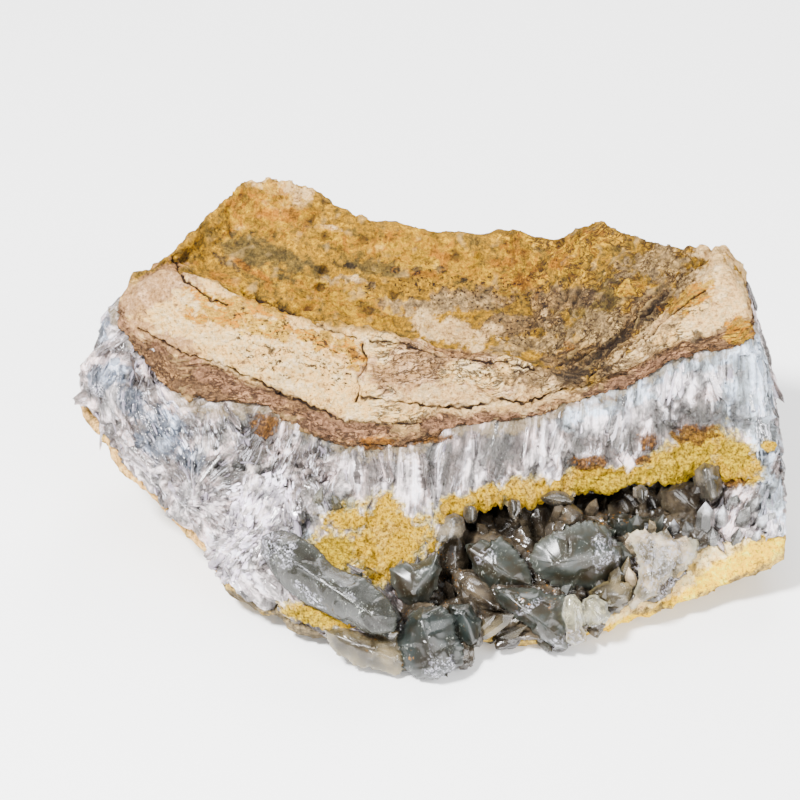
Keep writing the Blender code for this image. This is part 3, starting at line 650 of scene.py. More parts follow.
def tuckCrust():
    # The lining's edge goes back under the lip, and its faces are broken into small facets
    points, normals = pointsOf(crust), normalsOf(crust)
    lipY, lipZ = lineAt("lip", points[:, 0])
    near = smooth(lipY + 3.5 - points[:, 1], 0, 2) * smooth(points[:, 2] - lipZ, -4.5, -2.5)
    points = points + near[:, None] * np.array((0, 2.6, -0.8))
    setPoints(crust, points + normals * (facetField(points, 2.0) * 0.5)[:, None])


shapeRind()
tuckCrust()
print("rind and lining shaped")

# Colours and node helpers for the materials

# How bright a lit white surface is, and which brightness the finished picture shows as each level
tone = {
    "light": 3.4, "gamma": 2.2, "whitest": 0.93, "darkest": 0.004,
    "levels": [0, 18, 32, 51, 71, 87, 108, 124, 145, 160, 184, 202, 211, 220, 233, 244],
    "brightness": [0, 0.01, 0.02, 0.04, 0.07, 0.1, 0.15, 0.2, 0.3, 0.4, 0.7, 1.2, 1.6, 2.2, 4.0, 8.0],
    # The view widens the three colours and mixes them a little, before and after its curve
    "widen": [[0.627, 0.329, 0.043], [0.069, 0.920, 0.011], [0.016, 0.088, 0.896]],
    "before": [[0.857, 0.095, 0.048], [0.137, 0.761, 0.101], [0.112, 0.077, 0.811]],
    "after": [[1.127, -0.111, -0.016], [-0.141, 1.158, -0.016], [-0.141, -0.111, 1.252]],
}


def paint(red, green, blue, lit=1.0):
    # The surface colour that looks like the given one, 0 to 255, where the studio's light has this share
    brightest = np.interp(tone["whitest"] * tone["light"] * lit, tone["brightness"], tone["levels"])
    wanted = np.array((red, green, blue)) / 255 * min(1, brightest / max(red, green, blue))
    shown = np.array(tone["widen"]) @ wanted ** tone["gamma"]
    mixed = np.linalg.solve(tone["after"], shown ** (1 / tone["gamma"]))
    bright = np.interp(mixed * 255, tone["levels"], tone["brightness"])
    colour = np.linalg.solve(tone["widen"], np.linalg.solve(tone["before"], bright))
    colour = np.maximum(colour / tone["light"] / lit, tone["darkest"])
    colour *= min(1, tone["whitest"] / colour.max())
    return (*[float(v) for v in colour], 1.0)


class Knot:
    # A node's output. Sums of knots and numbers add the Math nodes that they need.
    def __init__(self, tree, socket):
        self.tree, self.socket = tree, socket

    def __add__(self, other):
        return reckon(self.tree, "ADD", self, other)

    def __sub__(self, other):
        return reckon(self.tree, "SUBTRACT", self, other)

    def __mul__(self, other):
        return reckon(self.tree, "MULTIPLY", self, other)

    def __truediv__(self, other):
        return reckon(self.tree, "DIVIDE", self, other)

    def __rtruediv__(self, other):
        return reckon(self.tree, "DIVIDE", other, self)

    def __abs__(self):
        return reckon(self.tree, "ABSOLUTE", self, 0.0)

    def larger(self, other):
        return reckon(self.tree, "MAXIMUM", self, other)

    def smaller(self, other):
        return reckon(self.tree, "MINIMUM", self, other)

    def between(self, low, high, start=0.0, end=1.0):
        # Goes smoothly from start to end as the value goes from low to high
        return put(self.tree, "ShaderNodeMapRange", {
            "Value": self, "From Min": low, "From Max": high, "To Min": start, "To Max": end,
        }, interpolation_type="SMOOTHSTEP")["Result"]


def wire(tree, value, socket):
    if isinstance(value, Knot):
        tree.links.new(value.socket, socket)
    else:
        socket.default_value = value


def knotsOf(tree, node):
    # A node's outputs, by name and by number
    knots = {output.name: Knot(tree, output) for output in node.outputs}
    return knots | {number: Knot(tree, output) for number, output in enumerate(node.outputs)}


def put(tree, kind, inputs=None, **settings):
    # Adds a node, gives it its settings and inputs, and hands back its outputs
    made = tree.nodes.new(kind)
    for name, value in settings.items():
        setattr(made, name, value)
    for name, value in (inputs or {}).items():
        wire(tree, value, made.inputs[name])
    return knotsOf(tree, made)


def reckon(tree, operation, first, second, clamp=False):
    return put(tree, "ShaderNodeMath", {0: first, 1: second}, operation=operation, use_clamp=clamp)[0]


def vectors(tree, operation, first, second):
    return put(tree, "ShaderNodeVectorMath", {0: first, 1: second}, operation=operation)[0]


def mask(tree, name):
    return put(tree, "ShaderNodeAttribute", attribute_name=name)["Fac"]


def place(tree, name):
    return put(tree, "ShaderNodeAttribute", attribute_name=name)["Vector"]


def objectPlace(tree):
    return put(tree, "ShaderNodeTexCoord")["Object"]


def blend(factor, first, second):
    return put(factor.tree, "ShaderNodeMix", {0: factor, 6: first, 7: second}, data_type="RGBA")[2]


def ramp(factor, stops):
    made = factor.tree.nodes.new("ShaderNodeValToRGB")
    wire(factor.tree, factor, made.inputs["Fac"])
    colours = made.color_ramp.elements
    while len(colours) < len(stops):
        colours.new(0.5)
    for element, (position, colour) in zip(colours, stops):
        element.position = position
        element.color = colour
    return Knot(factor.tree, made.outputs["Color"])


def toneRamp(factor, stops, colours, lit=1.0):
    return ramp(factor, list(zip(stops, [paint(*colour, lit) for colour in colours])))


def noiseIn(where, scale, detail, roughness, distortion=0.0):
    return put(where.tree, "ShaderNodeTexNoise", {
        "Vector": where, "Scale": scale, "Detail": detail, "Roughness": roughness, "Distortion": distortion,
    })["Fac"]


def noiseAt(where, size, detail=4.0, roughness=0.6, distortion=0.0):
    # Size is in millimetres
    return noiseIn(where, 1 / (size * mm), detail, roughness, distortion)


def firstChannel(colour):
    return put(colour.tree, "ShaderNodeSeparateColor", {"Color": colour})[0]


def newGroup(name, inputs, outputs, kind="ShaderNodeTree"):
    # A node group with named inputs and outputs; use hands the group its results
    group = bpy.data.node_groups.new(name, kind)
    for label, socketKind, value in inputs:
        socket = group.interface.new_socket(name=label, in_out="INPUT", socket_type=socketKind)
        if value is not None:
            socket.default_value = value
    for label, socketKind in outputs:
        group.interface.new_socket(name=label, in_out="OUTPUT", socket_type=socketKind)
    given = knotsOf(group, group.nodes.new("NodeGroupInput"))
    end = group.nodes.new("NodeGroupOutput")

    def use(**results):
        for label, value in results.items():
            wire(group, value, end.inputs[label])
        return group

    return group, given, use


def useGroup(tree, group, inputs):
    return put(tree, "ShaderNodeGroup", inputs, node_tree=group)


placeInput, sizeInput = ("Place", "NodeSocketVector", None), ("Size", "NodeSocketFloat", 1.0)


def buildStain():
    # Breaks the soft edge of a mark into crumbs of the given size
    _, given, use = newGroup("ragged stain", [
        ("Mask", "NodeSocketFloat", 0.0), placeInput, ("Crumb", "NodeSocketFloat", 1.0),
        ("Spread", "NodeSocketFloat", 0.7),
    ], [("Mask", "NodeSocketFloat")])
    crumbs = noiseIn(given["Place"], 1 / mm / given["Crumb"], 6.0, 0.7)
    total = given["Mask"] + (crumbs - 0.5) * given["Spread"] * 3.6
    return use(Mask=total.between(0.15, 0.9) * given["Mask"].between(0.02, 0.3))


def buildGrain():
    # Fine broken-stone grain: a height for the bump, a value for the colour that follows that height (grain
    # tone, and painted shade where the grain lies low), the pits' painted shade where the bump sinks, and
    # specks
    group, given, use = newGroup("stone grain", [placeInput, sizeInput], [
        (label, "NodeSocketFloat") for label in ("Height", "Value", "Pits", "Specks")
    ])
    scale = 1 / mm / given["Size"]
    coarse = noiseIn(given["Place"], scale, 9.0, 0.72)
    pits = noiseIn(given["Place"], scale * 1.5, 5.0, 0.6, 0.6).between(0.43, 0.34)
    dots = put(group, "ShaderNodeTexVoronoi", {"Vector": given["Place"], "Scale": scale * 0.9})
    specks = dots["Distance"].between(0.30, 0.16) * firstChannel(dots["Color"]).between(0.6, 0.65)
    return use(Height=coarse - pits * 0.25, Value=coarse, Pits=pits, Specks=specks)


def buildLines():
    # Thin wavy dark lines, such as the edges of layers: where a noise crosses its middle value
    _, given, use = newGroup("layer lines", [
        placeInput, sizeInput, ("Width", "NodeSocketFloat", 0.02),
    ], [("Lines", "NodeSocketFloat"), ("Value", "NodeSocketFloat")])
    value = noiseIn(given["Place"], 1 / mm / given["Size"], 5.0, 0.55)
    return use(Lines=(abs(value - 0.5) / given["Width"]).between(1.0, 0.2), Value=value)


def buildFacets():
    # Small crystal facets that lean each their own way
    group, given, use = newGroup("crystal facets", [placeInput, sizeInput], [
        ("Height", "NodeSocketFloat"), ("Chance", "NodeSocketFloat"),
    ])
    cell = put(group, "ShaderNodeTexVoronoi", {"Vector": given["Place"], "Scale": 1 / mm / given["Size"]})
    chance = firstChannel(cell["Color"])
    return use(Height=cell["Distance"] * (chance + 0.2), Chance=chance)


stain, stoneGrain, layerLines, facets = buildStain(), buildGrain(), buildLines(), buildFacets()


def newMaterial(name):
    material = bpy.data.materials.new(name)
    material.use_nodes = True
    tree = material.node_tree
    return material, tree, tree.nodes["Principled BSDF"]


def stained(colour, name, where, tint, crumb=1.0, spread=0.7, strength=1.0):
    crisp = useGroup(colour.tree, stain, {
        "Mask": mask(colour.tree, name), "Place": where, "Crumb": crumb, "Spread": spread,
    })
    return blend(crisp["Mask"] * strength, colour, tint)


def setPlain(shader, values):
    for name, value in values.items():
        shader.inputs[name].default_value = value


def bumped(shader, height, strength, distance):
    bump = put(height.tree, "ShaderNodeBump", {
        "Height": height, "Strength": strength, "Distance": distance * mm,
    })
    wire(height.tree, bump["Normal"], shader.inputs["Normal"])


def absorbing(tree, inside, density):
    volume = put(tree, "ShaderNodeVolumeAbsorption", {"Color": inside, "Density": density})
    wire(tree, volume["Volume"], tree.nodes["Material Output"].inputs["Volume"])


# Four colours from dark to light for each finish. A stain also has the size of its crumbs in mm,
# how far they spread and its strength.
rockColours = {
    "stops": (0.40, 0.465, 0.525, 0.60),
    "face": ((178, 150, 116), (227, 208, 178), (241, 227, 204), (249, 242, 229)),
    "dish": ((118, 92, 46), (178, 146, 80), (208, 178, 108), (232, 208, 150)),
    "layers": ((122, 90, 66), (170, 134, 104), (198, 164, 134), (226, 204, 178)),
    "amber": ((118, 74, 24), (186, 130, 44), (212, 160, 62), (230, 190, 104)),
    "stains": {
        "pink": (((142, 110, 86), (188, 158, 132), (208, 183, 159), (232, 213, 194)), 2.4, 0.8, 0.7),
        "olive": (((84, 70, 42), (128, 108, 66), (156, 134, 86), (186, 166, 118)), 2.6, 0.8, 0.8),
        "brown": (((98, 80, 62), (152, 128, 102), (186, 162, 134), (220, 200, 174)), 2.4, 0.9, 0.8),
        "taupe": (((140, 120, 96), (188, 166, 138), (212, 192, 164), (234, 220, 198)), 2.4, 0.9, 0.85),
        "cream": (((184, 160, 130), (224, 206, 180), (238, 225, 205), (247, 240, 227)), 1.8, 0.7, 0.85),
        "ochre": (((142, 106, 36), (198, 162, 60), (220, 190, 88), (238, 216, 138)), 2.0, 0.9, 0.85),
        "rust": (((112, 68, 20), (184, 126, 38), (210, 158, 60), (228, 190, 108)), 1.3, 1.0, 0.85),
        # dark: painted shade for the host's pits and cracks
        "dark": (((38, 30, 24), (74, 59, 46), (110, 90, 70), (156, 134, 110)), 1.4, 1.0, 0.85),
    },
}


def rockMaterial():
    material, tree, shader = newMaterial("tan host rock")
    where, bed, dish = objectPlace(tree), place(tree, "bed"), mask(tree, "dish")
    fine = useGroup(tree, stoneGrain, {"Place": where, "Size": 0.85})
    wide = useGroup(tree, stoneGrain, {"Place": where, "Size": 4.0})
    streaks = useGroup(tree, layerLines, {"Place": bed, "Size": 1.6, "Width": 0.04})
    hairlines = useGroup(tree, layerLines, {"Place": bed, "Size": 0.75, "Width": 0.05})
    # The tone follows the grain's height: grain tone, and painted shade where the grain lies low
    mixed = fine["Value"] * 0.45 + wide["Value"] * 0.35 + streaks["Value"] * 0.2

    def toned(colours):
        return toneRamp(mixed, rockColours["stops"], colours)

    colour = blend(dish, toned(rockColours["face"]), toned(rockColours["dish"]))
    colour = blend(mask(tree, "layers"), colour, toned(rockColours["layers"]))
    amber = noiseAt(where, 5.5, 6.0, 0.7, 0.6).between(0.50, 0.60, 0.0, 0.8) * dish
    for name, (colours, crumb, spread, strength) in rockColours["stains"].items():
        tint = toned(colours)
        if name == "ochre":
            tint = blend(amber, tint, toned(rockColours["amber"]))
        colour = stained(colour, name, where, tint, crumb, spread, strength)

    # Dark lines of the layers, golden ones in the ochre, soot and specks; painted shade in the pits, in the
    # low places and along the cracks, and painted highlight on the raised places
    lined = mask(tree, "lined") * mask(tree, "cream").between(0.1, 0.8, 1.0, 0.35)
    broken = streaks["Lines"].larger(hairlines["Lines"]) * lined * wide["Value"].between(0.42, 0.52)
    colour = blend(broken * 0.9, colour, paint(90, 65, 50))
    golden = mask(tree, "ochre").between(0.1, 0.7) * (streaks["Lines"] * dish.between(0.6, 0.2, 0.35, 0.9))
    colour = blend(golden, colour, paint(220, 180, 80))
    sooty = mask(tree, "pepper").between(0.2, 0.8) * hairlines["Value"].between(0.53, 0.57)
    colour = blend(sooty * fine["Value"].between(0.53, 0.48, 0.0, 0.9), colour, paint(60, 48, 42))
    # Painted shade in the pits of the grain
    colour = blend(fine["Pits"] * 0.55, colour, paint(96, 72, 50))
    colour = blend(wide["Pits"] * (dish * 0.25), colour, paint(92, 66, 40))
    specks = fine["Specks"] * mask(tree, "pepper").between(0.1, 0.6, 0.16, 1.0)
    colour = blend(specks * 0.9, colour, paint(50, 40, 34))
    # Painted shade where the stone lies deep, painted highlight where it stands out
    relief = mask(tree, "relief")
    colour = blend(relief.between(0.40, 0.08, 0.0, 0.75), colour, paint(72, 52, 36))
    colour = blend(relief.between(0.60, 0.90, 0.0, 0.35), colour, paint(240, 224, 196))
    # Painted shade along the cracks
    colour = blend(mask(tree, "seam").between(0.3, 0.8, 0.0, 0.85), colour, paint(66, 46, 36))
    wire(tree, colour, shader.inputs["Base Color"])
    setPlain(shader, {"Roughness": 0.9, "Specular IOR Level": 0.12})
    bumped(shader, fine["Height"] + wide["Height"] * 1.2 - broken * 0.3, 1.0, 1.4)
    return material


bandColours = {
    "stops": (0.41, 0.475, 0.53, 0.59),
    "crystal": ((96, 84, 80), (150, 138, 133), (190, 180, 176), (232, 227, 226)),
    "stains": {
        "paleBlue": (((148, 152, 154), (192, 197, 200), (216, 221, 224), (236, 241, 245)), 3.0, 0.6, 0.9),
        "blue": (((74, 84, 98), (104, 116, 132), (140, 150, 164), (198, 205, 213)), 2.4, 0.4, 0.95),
        "white": (((158, 154, 153), (202, 198, 197), (228, 225, 225), (245, 244, 245)), 2.2, 0.8, 0.85),
        "clear": (((76, 74, 68), (112, 110, 104), (148, 145, 140), (196, 193, 190)), 2.0, 0.8, 0.75),
    },
    "tongueStops": (0.36, 0.48, 0.58, 0.68),
    "tongue": ((58, 60, 54), (92, 92, 86), (126, 127, 124), (184, 186, 186)),
    "earthStops": (0.38, 0.46, 0.53, 0.62),
    "halo": ((178, 158, 112), (206, 192, 150), (222, 212, 178), (238, 232, 208)),
    "yellow": ((170, 142, 52), (214, 186, 92), (228, 206, 126), (240, 224, 168)),
    "sand": ((168, 146, 96), (206, 184, 134), (224, 206, 162), (240, 228, 194)),
    "lemon": ((146, 128, 60), (202, 180, 88), (222, 202, 114), (238, 224, 158)),
    "rust": ((92, 54, 26), (142, 92, 46), (174, 124, 70), (210, 170, 116)),
}


def bandColour(tree, where, fibre):
    # The band's pale, blue and glassy streaks with painted highlight streaks and sparkles, shared by the body
    # and the prisms on it
    strand = useGroup(tree, layerLines, {"Place": fibre, "Size": 2.3, "Width": 0.05})
    hair = useGroup(tree, layerLines, {"Place": fibre, "Size": 0.5, "Width": 0.05})
    patch = noiseAt(where, 5.0, 6.0, 0.62, 0.4)
    frost = noiseAt(where, 1.1, 7.0, 0.75, 0.8)
    soft = mask(tree, "stubby").between(0.1, 0.9, 0.0, 0.85)
    mixed = put(tree, "ShaderNodeMix", {
        0: soft, 2: strand["Value"] * 0.56 + hair["Value"] * 0.14 + patch * 0.3,
        3: patch * 0.72 + frost * 0.18 + strand["Value"] * 0.1,
    })[0]
    colour = toneRamp(mixed, bandColours["stops"], bandColours["crystal"])
    for name, (colours, crumb, spread, strength) in bandColours["stains"].items():
        tint = toneRamp(mixed, bandColours["stops"], colours)
        colour = stained(colour, name, where, tint, crumb, spread, strength)
    # Painted highlight: white streaks along the fibres and white sparkles in the chunky zones
    bright = hair["Lines"] * strand["Value"].between(0.5, 0.6) * 0.8
    sparkleHighlights = frost.between(0.61, 0.68) * soft * 0.8
    return blend(bright.larger(sparkleHighlights), colour, paint(246, 246, 248)), strand, hair, frost


def bandMaterial(name, shine, soft):
    # The band in two finishes: satin crystal, and the dull limonite that covers some of its faces
    material, tree, shader = newMaterial(name)
    where, fibre = objectPlace(tree), place(tree, "fibre")
    colour, strand, hair, frost = bandColour(tree, where, fibre)
    glint = useGroup(tree, facets, {"Place": where, "Size": 1.1})
    crumbs = useGroup(tree, stoneGrain, {"Place": where, "Size": 0.7})
    highlightDashes = useGroup(tree, layerLines, {"Place": fibre, "Size": 0.8, "Width": 0.03})
    yellow, rust = mask(tree, "yellow"), mask(tree, "rust")

    def earth(name):
        return toneRamp(crumbs["Value"], bandColours["earthStops"], bandColours[name])

    # The crystal: the tongue's painted highlight dashes, painted shade in the gaps between the columns, in
    # the hollows and in the holes, a tan upper edge
    tongueTone = toneRamp(hair["Value"], bandColours["tongueStops"], bandColours["tongue"])
    colour = stained(colour, "tongue", where, tongueTone, 2.0, 0.5, 0.95)
    # Painted highlight dashes on the tongue
    tongueHighlights = highlightDashes["Lines"] * glint["Chance"].between(0.3, 0.6)
    colour = blend(tongueHighlights * mask(tree, "tongue"), colour, paint(228, 232, 236))
    colour = blend(mask(tree, "seam").between(0.3, 1.0, 0.0, 0.65), colour, paint(78, 70, 64))
    colour = blend(mask(tree, "relief").between(0.40, 0.08, 0.0, 0.75), colour, paint(84, 76, 68))
    colour = stained(colour, "holes", where, paint(58, 56, 50), 1.0, 0.4, 0.85)
    colour = stained(colour, "topEdge", where, paint(190, 172, 148), 1.8, 1.3, 0.5)

    # The limonite: a pale halo, yellow with sandy and lemon patches, and rust
    sandy = noiseAt(where, 6.0, 5.0, 0.6).between(0.52, 0.60, 0.0, 0.55)
    colour = blend(yellow.between(0.0, 0.3, 0.0, 0.6), colour, earth("halo"))
    colour = stained(colour, "yellow", where, blend(sandy, earth("yellow"), earth("sand")), 1.6, 0.6, 1.0)
    lemon = mask(tree, "lemon").smaller(yellow)
    colour = blend(lemon.between(0.25, 0.8, 0.0, 0.75), colour, earth("lemon"))
    colour = stained(colour, "rust", where, earth("rust"), 1.3, 0.8, 0.9)
    earthy = yellow.larger(rust).between(0.3, 0.6)
    # Painted shade in the limonite's pits
    colour = blend(crumbs["Pits"] * (earthy * 0.5), colour, paint(112, 82, 36))
    wire(tree, colour, shader.inputs["Base Color"])
    gloss = reckon(tree, "ADD", glint["Chance"].between(0.0, 1.0, 0.12, 0.40), earthy * 0.55, clamp=True)
    wire(tree, gloss, shader.inputs["Roughness"])
    setPlain(shader, {
        "IOR": 1.6, "Specular IOR Level": shine, "Subsurface Weight": soft,
        "Subsurface Radius": (1.0, 1.0, 1.0), "Subsurface Scale": 0.8 * mm,
    })
    calmer = mask(tree, "stubby").between(0.1, 0.9, 1.1, 0.4)
    height = hair["Value"] * calmer + glint["Height"] * 0.5 + strand["Value"] * 1.2 + frost * 0.5
    bumped(shader, height + crumbs["Height"] * earthy.between(0.0, 1.0, 0.3, 2.6), 1.0, 0.8)
    return material


def prismMaterial(name, contrast):
    # The prisms that stand out of the band: streaks along each one, partly see-through
    material, tree, shader = newMaterial(name)
    where, own, tint = objectPlace(tree), place(tree, "own"), mask(tree, "tint")
    along = vectors(tree, "MULTIPLY", own, (2.2 * mm, 2.2 * mm, 0.7 * mm))
    shift = put(tree, "ShaderNodeCombineXYZ", {"X": tint, "Y": tint})[0]
    colour, strand, hair, _ = bandColour(tree, where, vectors(tree, "ADD", along, shift))
    colour = blend(tint.between(0.7, 1.0, 0.0, contrast), colour, paint(236, 234, 238))
    colour = blend(tint.between(0.45, 0.0, 0.0, contrast), colour, paint(126, 120, 116))
    wire(tree, colour, shader.inputs["Base Color"])
    setPlain(shader, {"Roughness": 0.14, "IOR": 1.6, "Transmission Weight": 0.5})
    bumped(shader, hair["Value"] + strand["Value"], 0.6, 0.4)
    absorbing(tree, (0.8, 0.81, 0.85, 1), 120.0)
    return material


rindColours = {
    "stops": (0.38, 0.46, 0.53, 0.62),
    "plain": ((112, 88, 52), (160, 134, 88), (188, 164, 112), (214, 196, 150)),
    "stains": {
        "tan": (((130, 100, 60), (178, 152, 108), (204, 182, 142), (226, 210, 180)), 2.0, 0.7, 0.9),
        "yellow": (((182, 152, 62), (220, 194, 98), (236, 214, 130), (247, 236, 176)), 2.0, 0.7, 1.0),
        "cream": (((184, 160, 128), (218, 200, 170), (232, 218, 194), (242, 234, 218)), 2.0, 0.7, 0.9),
        "dark": (((48, 42, 34), (84, 75, 62), (116, 104, 88), (154, 142, 124)), 1.6, 0.9, 0.9),
    },
}


def rindMaterial():
    material, tree, shader = newMaterial("yellow rind")
    where = objectPlace(tree)
    fine = useGroup(tree, stoneGrain, {"Place": where, "Size": 1.0})
    wide = useGroup(tree, stoneGrain, {"Place": where, "Size": 4.0})
    mixed = fine["Value"] * 0.5 + wide["Value"] * 0.5

    def toned(colours):
        return toneRamp(mixed, rindColours["stops"], colours, rindLook["lit"])

    colour = toned(rindColours["plain"])
    for name, (colours, crumb, spread, strength) in rindColours["stains"].items():
        colour = stained(colour, name, where, toned(colours), crumb, spread, strength)
    # Painted shade in the pits
    colour = blend(fine["Pits"] * 0.5, colour, paint(120, 86, 42))
    # Painted shade where the rind lies deep
    colour = blend(mask(tree, "relief").between(0.42, 0.1, 0.0, 0.6), colour, paint(104, 76, 40))
    wire(tree, colour, shader.inputs["Base Color"])
    setPlain(shader, {"Roughness": 0.9, "Specular IOR Level": 0.12})
    bumped(shader, fine["Height"] + wide["Height"], 1.0, 0.8)
    return material


def glassy(name, look):
    # A crystal you can partly see into: plain transmission, index and absorption
    look = glassCommon | look
    material, tree, shader = newMaterial(name)
    where = objectPlace(tree)
    ticks = noiseAt(vectors(tree, "MULTIPLY", where, (1.0, 0.9, 0.24)), 0.36, 2.0, 0.5, 1.6)
    glint = useGroup(tree, facets, {"Place": where, "Size": look["facet"]})
    colour = toneRamp(noiseAt(where, 5.5, 6.0, 0.62), (0.36, 0.46, 0.54, 0.64), look["colours"])
    colour = blend(mask(tree, "rim").between(0.6, 1.0, 0.0, 0.5), colour, paint(*look["edge"]))
    # Painted sheen: silky white patches where the sheen marks are
    paintedSheen = mask(tree, "sheen").between(0.1, 0.8) * noiseAt(where, 0.8, 6.0, 0.75, 0.8).between(0.50, 0.60)
    colour = blend(paintedSheen * 0.8, colour, paint(220, 220, 222))
    # Painted highlight: short bright dashes in the crystal
    shortHighlights = ticks.between(0.64, 0.72) * noiseAt(where, 3.2, 5.0, 0.65).between(0.44, 0.60)
    colour = blend(shortHighlights * look["highlightDashes"], colour, paint(226, 227, 224))
    flecks = mask(tree, "flecks").between(0.2, 0.6) * noiseAt(where, 1.1, 5.0, 0.7).between(0.60, 0.65)
    colour = blend(flecks, colour, paint(206, 158, 74))
    wire(tree, colour, shader.inputs["Base Color"])
    setPlain(shader, {
        "Roughness": look["rough"], "Transmission Weight": look["clear"], "IOR": 1.6,
        "Specular IOR Level": look["shine"],
    })
    bumped(shader, glint["Height"] * 0.6 + ticks * 0.6, look["bump"], 0.5)
    absorbing(tree, (*look["inside"], 1), look["density"])
    return material


# Each kind of glassy crystal: its four colours and edge, how clear it is and its colour inside
glassCommon = {"facet": 1.6, "highlightDashes": 0.3, "shine": 0.5, "rough": 0.2, "clear": 0.6, "bump": 0.07}
foilLook = {
    "colours": [(160, 156, 158), (204, 201, 204), (232, 230, 233), (248, 248, 250)], "edge": (236, 236, 240),
    "facet": 1.0, "rough": 0.14, "clear": 0.25, "bump": 0.1, "inside": (0.92, 0.92, 0.95), "density": 60.0,
}
glassLooks = {
    "slate": {
        "colours": [(68, 53, 32), (72, 64, 46), (72, 77, 68), (92, 99, 92)], "edge": (142, 146, 138),
        "facet": 1.1, "highlightDashes": 0.7, "shine": 0.3, "rough": 0.3, "clear": 0.4, "bump": 0.05,
        "inside": (0.62, 0.62, 0.52), "density": 160.0,
    },
    "teal": {
        "colours": [(54, 44, 30), (50, 52, 42), (50, 60, 56), (76, 86, 82)], "edge": (96, 102, 96),
        "facet": 1.1, "highlightDashes": 0.7, "shine": 0.25, "rough": 0.3, "clear": 0.4, "bump": 0.05,
        "inside": (0.56, 0.6, 0.54), "density": 180.0,
    },
    "smoky": {
        "colours": [(62, 50, 38), (92, 77, 60), (122, 106, 86), (158, 142, 120)], "edge": (150, 136, 116),
        "shine": 0.35, "clear": 0.45, "bump": 0.1, "inside": (0.66, 0.55, 0.42), "density": 200.0,
    },
    "amber": {
        "colours": [(88, 72, 48), (126, 109, 80), (154, 138, 110), (192, 180, 156)], "edge": (206, 194, 170),
        "inside": (0.88, 0.78, 0.6), "density": 120.0,
    },
    "milky": {
        "colours": [(150, 138, 120), (190, 178, 160), (218, 209, 195), (244, 240, 234)],
        "edge": (236, 234, 228), "highlightDashes": 0.5, "rough": 0.18, "bump": 0.08, "inside": (0.9, 0.87, 0.82),
        "density": 70.0,
    },
    "clear": {
        "colours": [(180, 177, 165), (206, 203, 192), (226, 224, 217), (246, 246, 244)],
        "edge": (244, 244, 242), "highlightDashes": 0.4, "rough": 0.08, "clear": 0.85, "bump": 0.08,
        "inside": (0.92, 0.91, 0.86), "density": 40.0,
    },
    "grey": {
        "colours": [(92, 83, 70), (126, 117, 103), (156, 148, 135), (196, 189, 179)], "edge": (190, 184, 172),
        "rough": 0.16, "inside": (0.86, 0.82, 0.74), "density": 90.0,
    },
    "pale": {
        "colours": [(118, 115, 110), (160, 158, 154), (200, 199, 198), (240, 241, 243)],
        "edge": (232, 233, 235), "facet": 1.4, "highlightDashes": 0.5, "rough": 0.18, "clear": 0.5, "bump": 0.1,
        "inside": (0.88, 0.89, 0.9), "density": 80.0,
    },
    "tongue": {
        "colours": [(56, 50, 38), (70, 67, 55), (84, 84, 78), (122, 122, 116)], "edge": (116, 120, 112),
        "highlightDashes": 0.9, "shine": 0.25, "rough": 0.26, "clear": 0.35, "bump": 0.14,
        "inside": (0.66, 0.70, 0.66), "density": 150.0,
    },
}
hostMaterial = rockMaterial()
fibrousMaterial = bandMaterial("fibrous celestite", 0.5, 0.25)
limoniteMaterial = bandMaterial("limonite crust", 0.08, 0.0)
skinMaterial = rindMaterial()
prismsMaterial = prismMaterial("pale celestite crystal", 0.5)
needlesMaterial = prismMaterial("celestite needle", 0.3)
foilMaterial = glassy("foil-like celestite", foilLook)
glass = {kind: glassy(kind + " crystal", look) for kind, look in glassLooks.items()}
print("materials made")

# Thousands of small crystals that stand out of the band along its growth


def prism(name, sides, shoulder, lean, flat):
    # A prism of unit length and width about its middle, with a leaning point at each end
    bm = bmesh.new()
    bmesh.ops.create_cone(bm, cap_ends=True, segments=sides, radius1=0.42, radius2=0.5, depth=shoulder)
    ends = [face for face in bm.faces if len(face.verts) == sides and abs(face.normal.z) > 0.9]
    for vertex in bmesh.ops.poke(bm, faces=ends)["verts"]:
        vertex.co = Vector((lean * vertex.co.z, 0, math.copysign(0.5, vertex.co.z)))
    bmesh.ops.scale(bm, vec=(1, flat, 1), verts=bm.verts)
    bmesh.ops.triangulate(bm, faces=bm.faces)
    shape = addPiece(name, meshOf(bm, name))
    setVectors(shape, "own", pointsOf(shape) * mm)
    shape.hide_render = True
    return shape


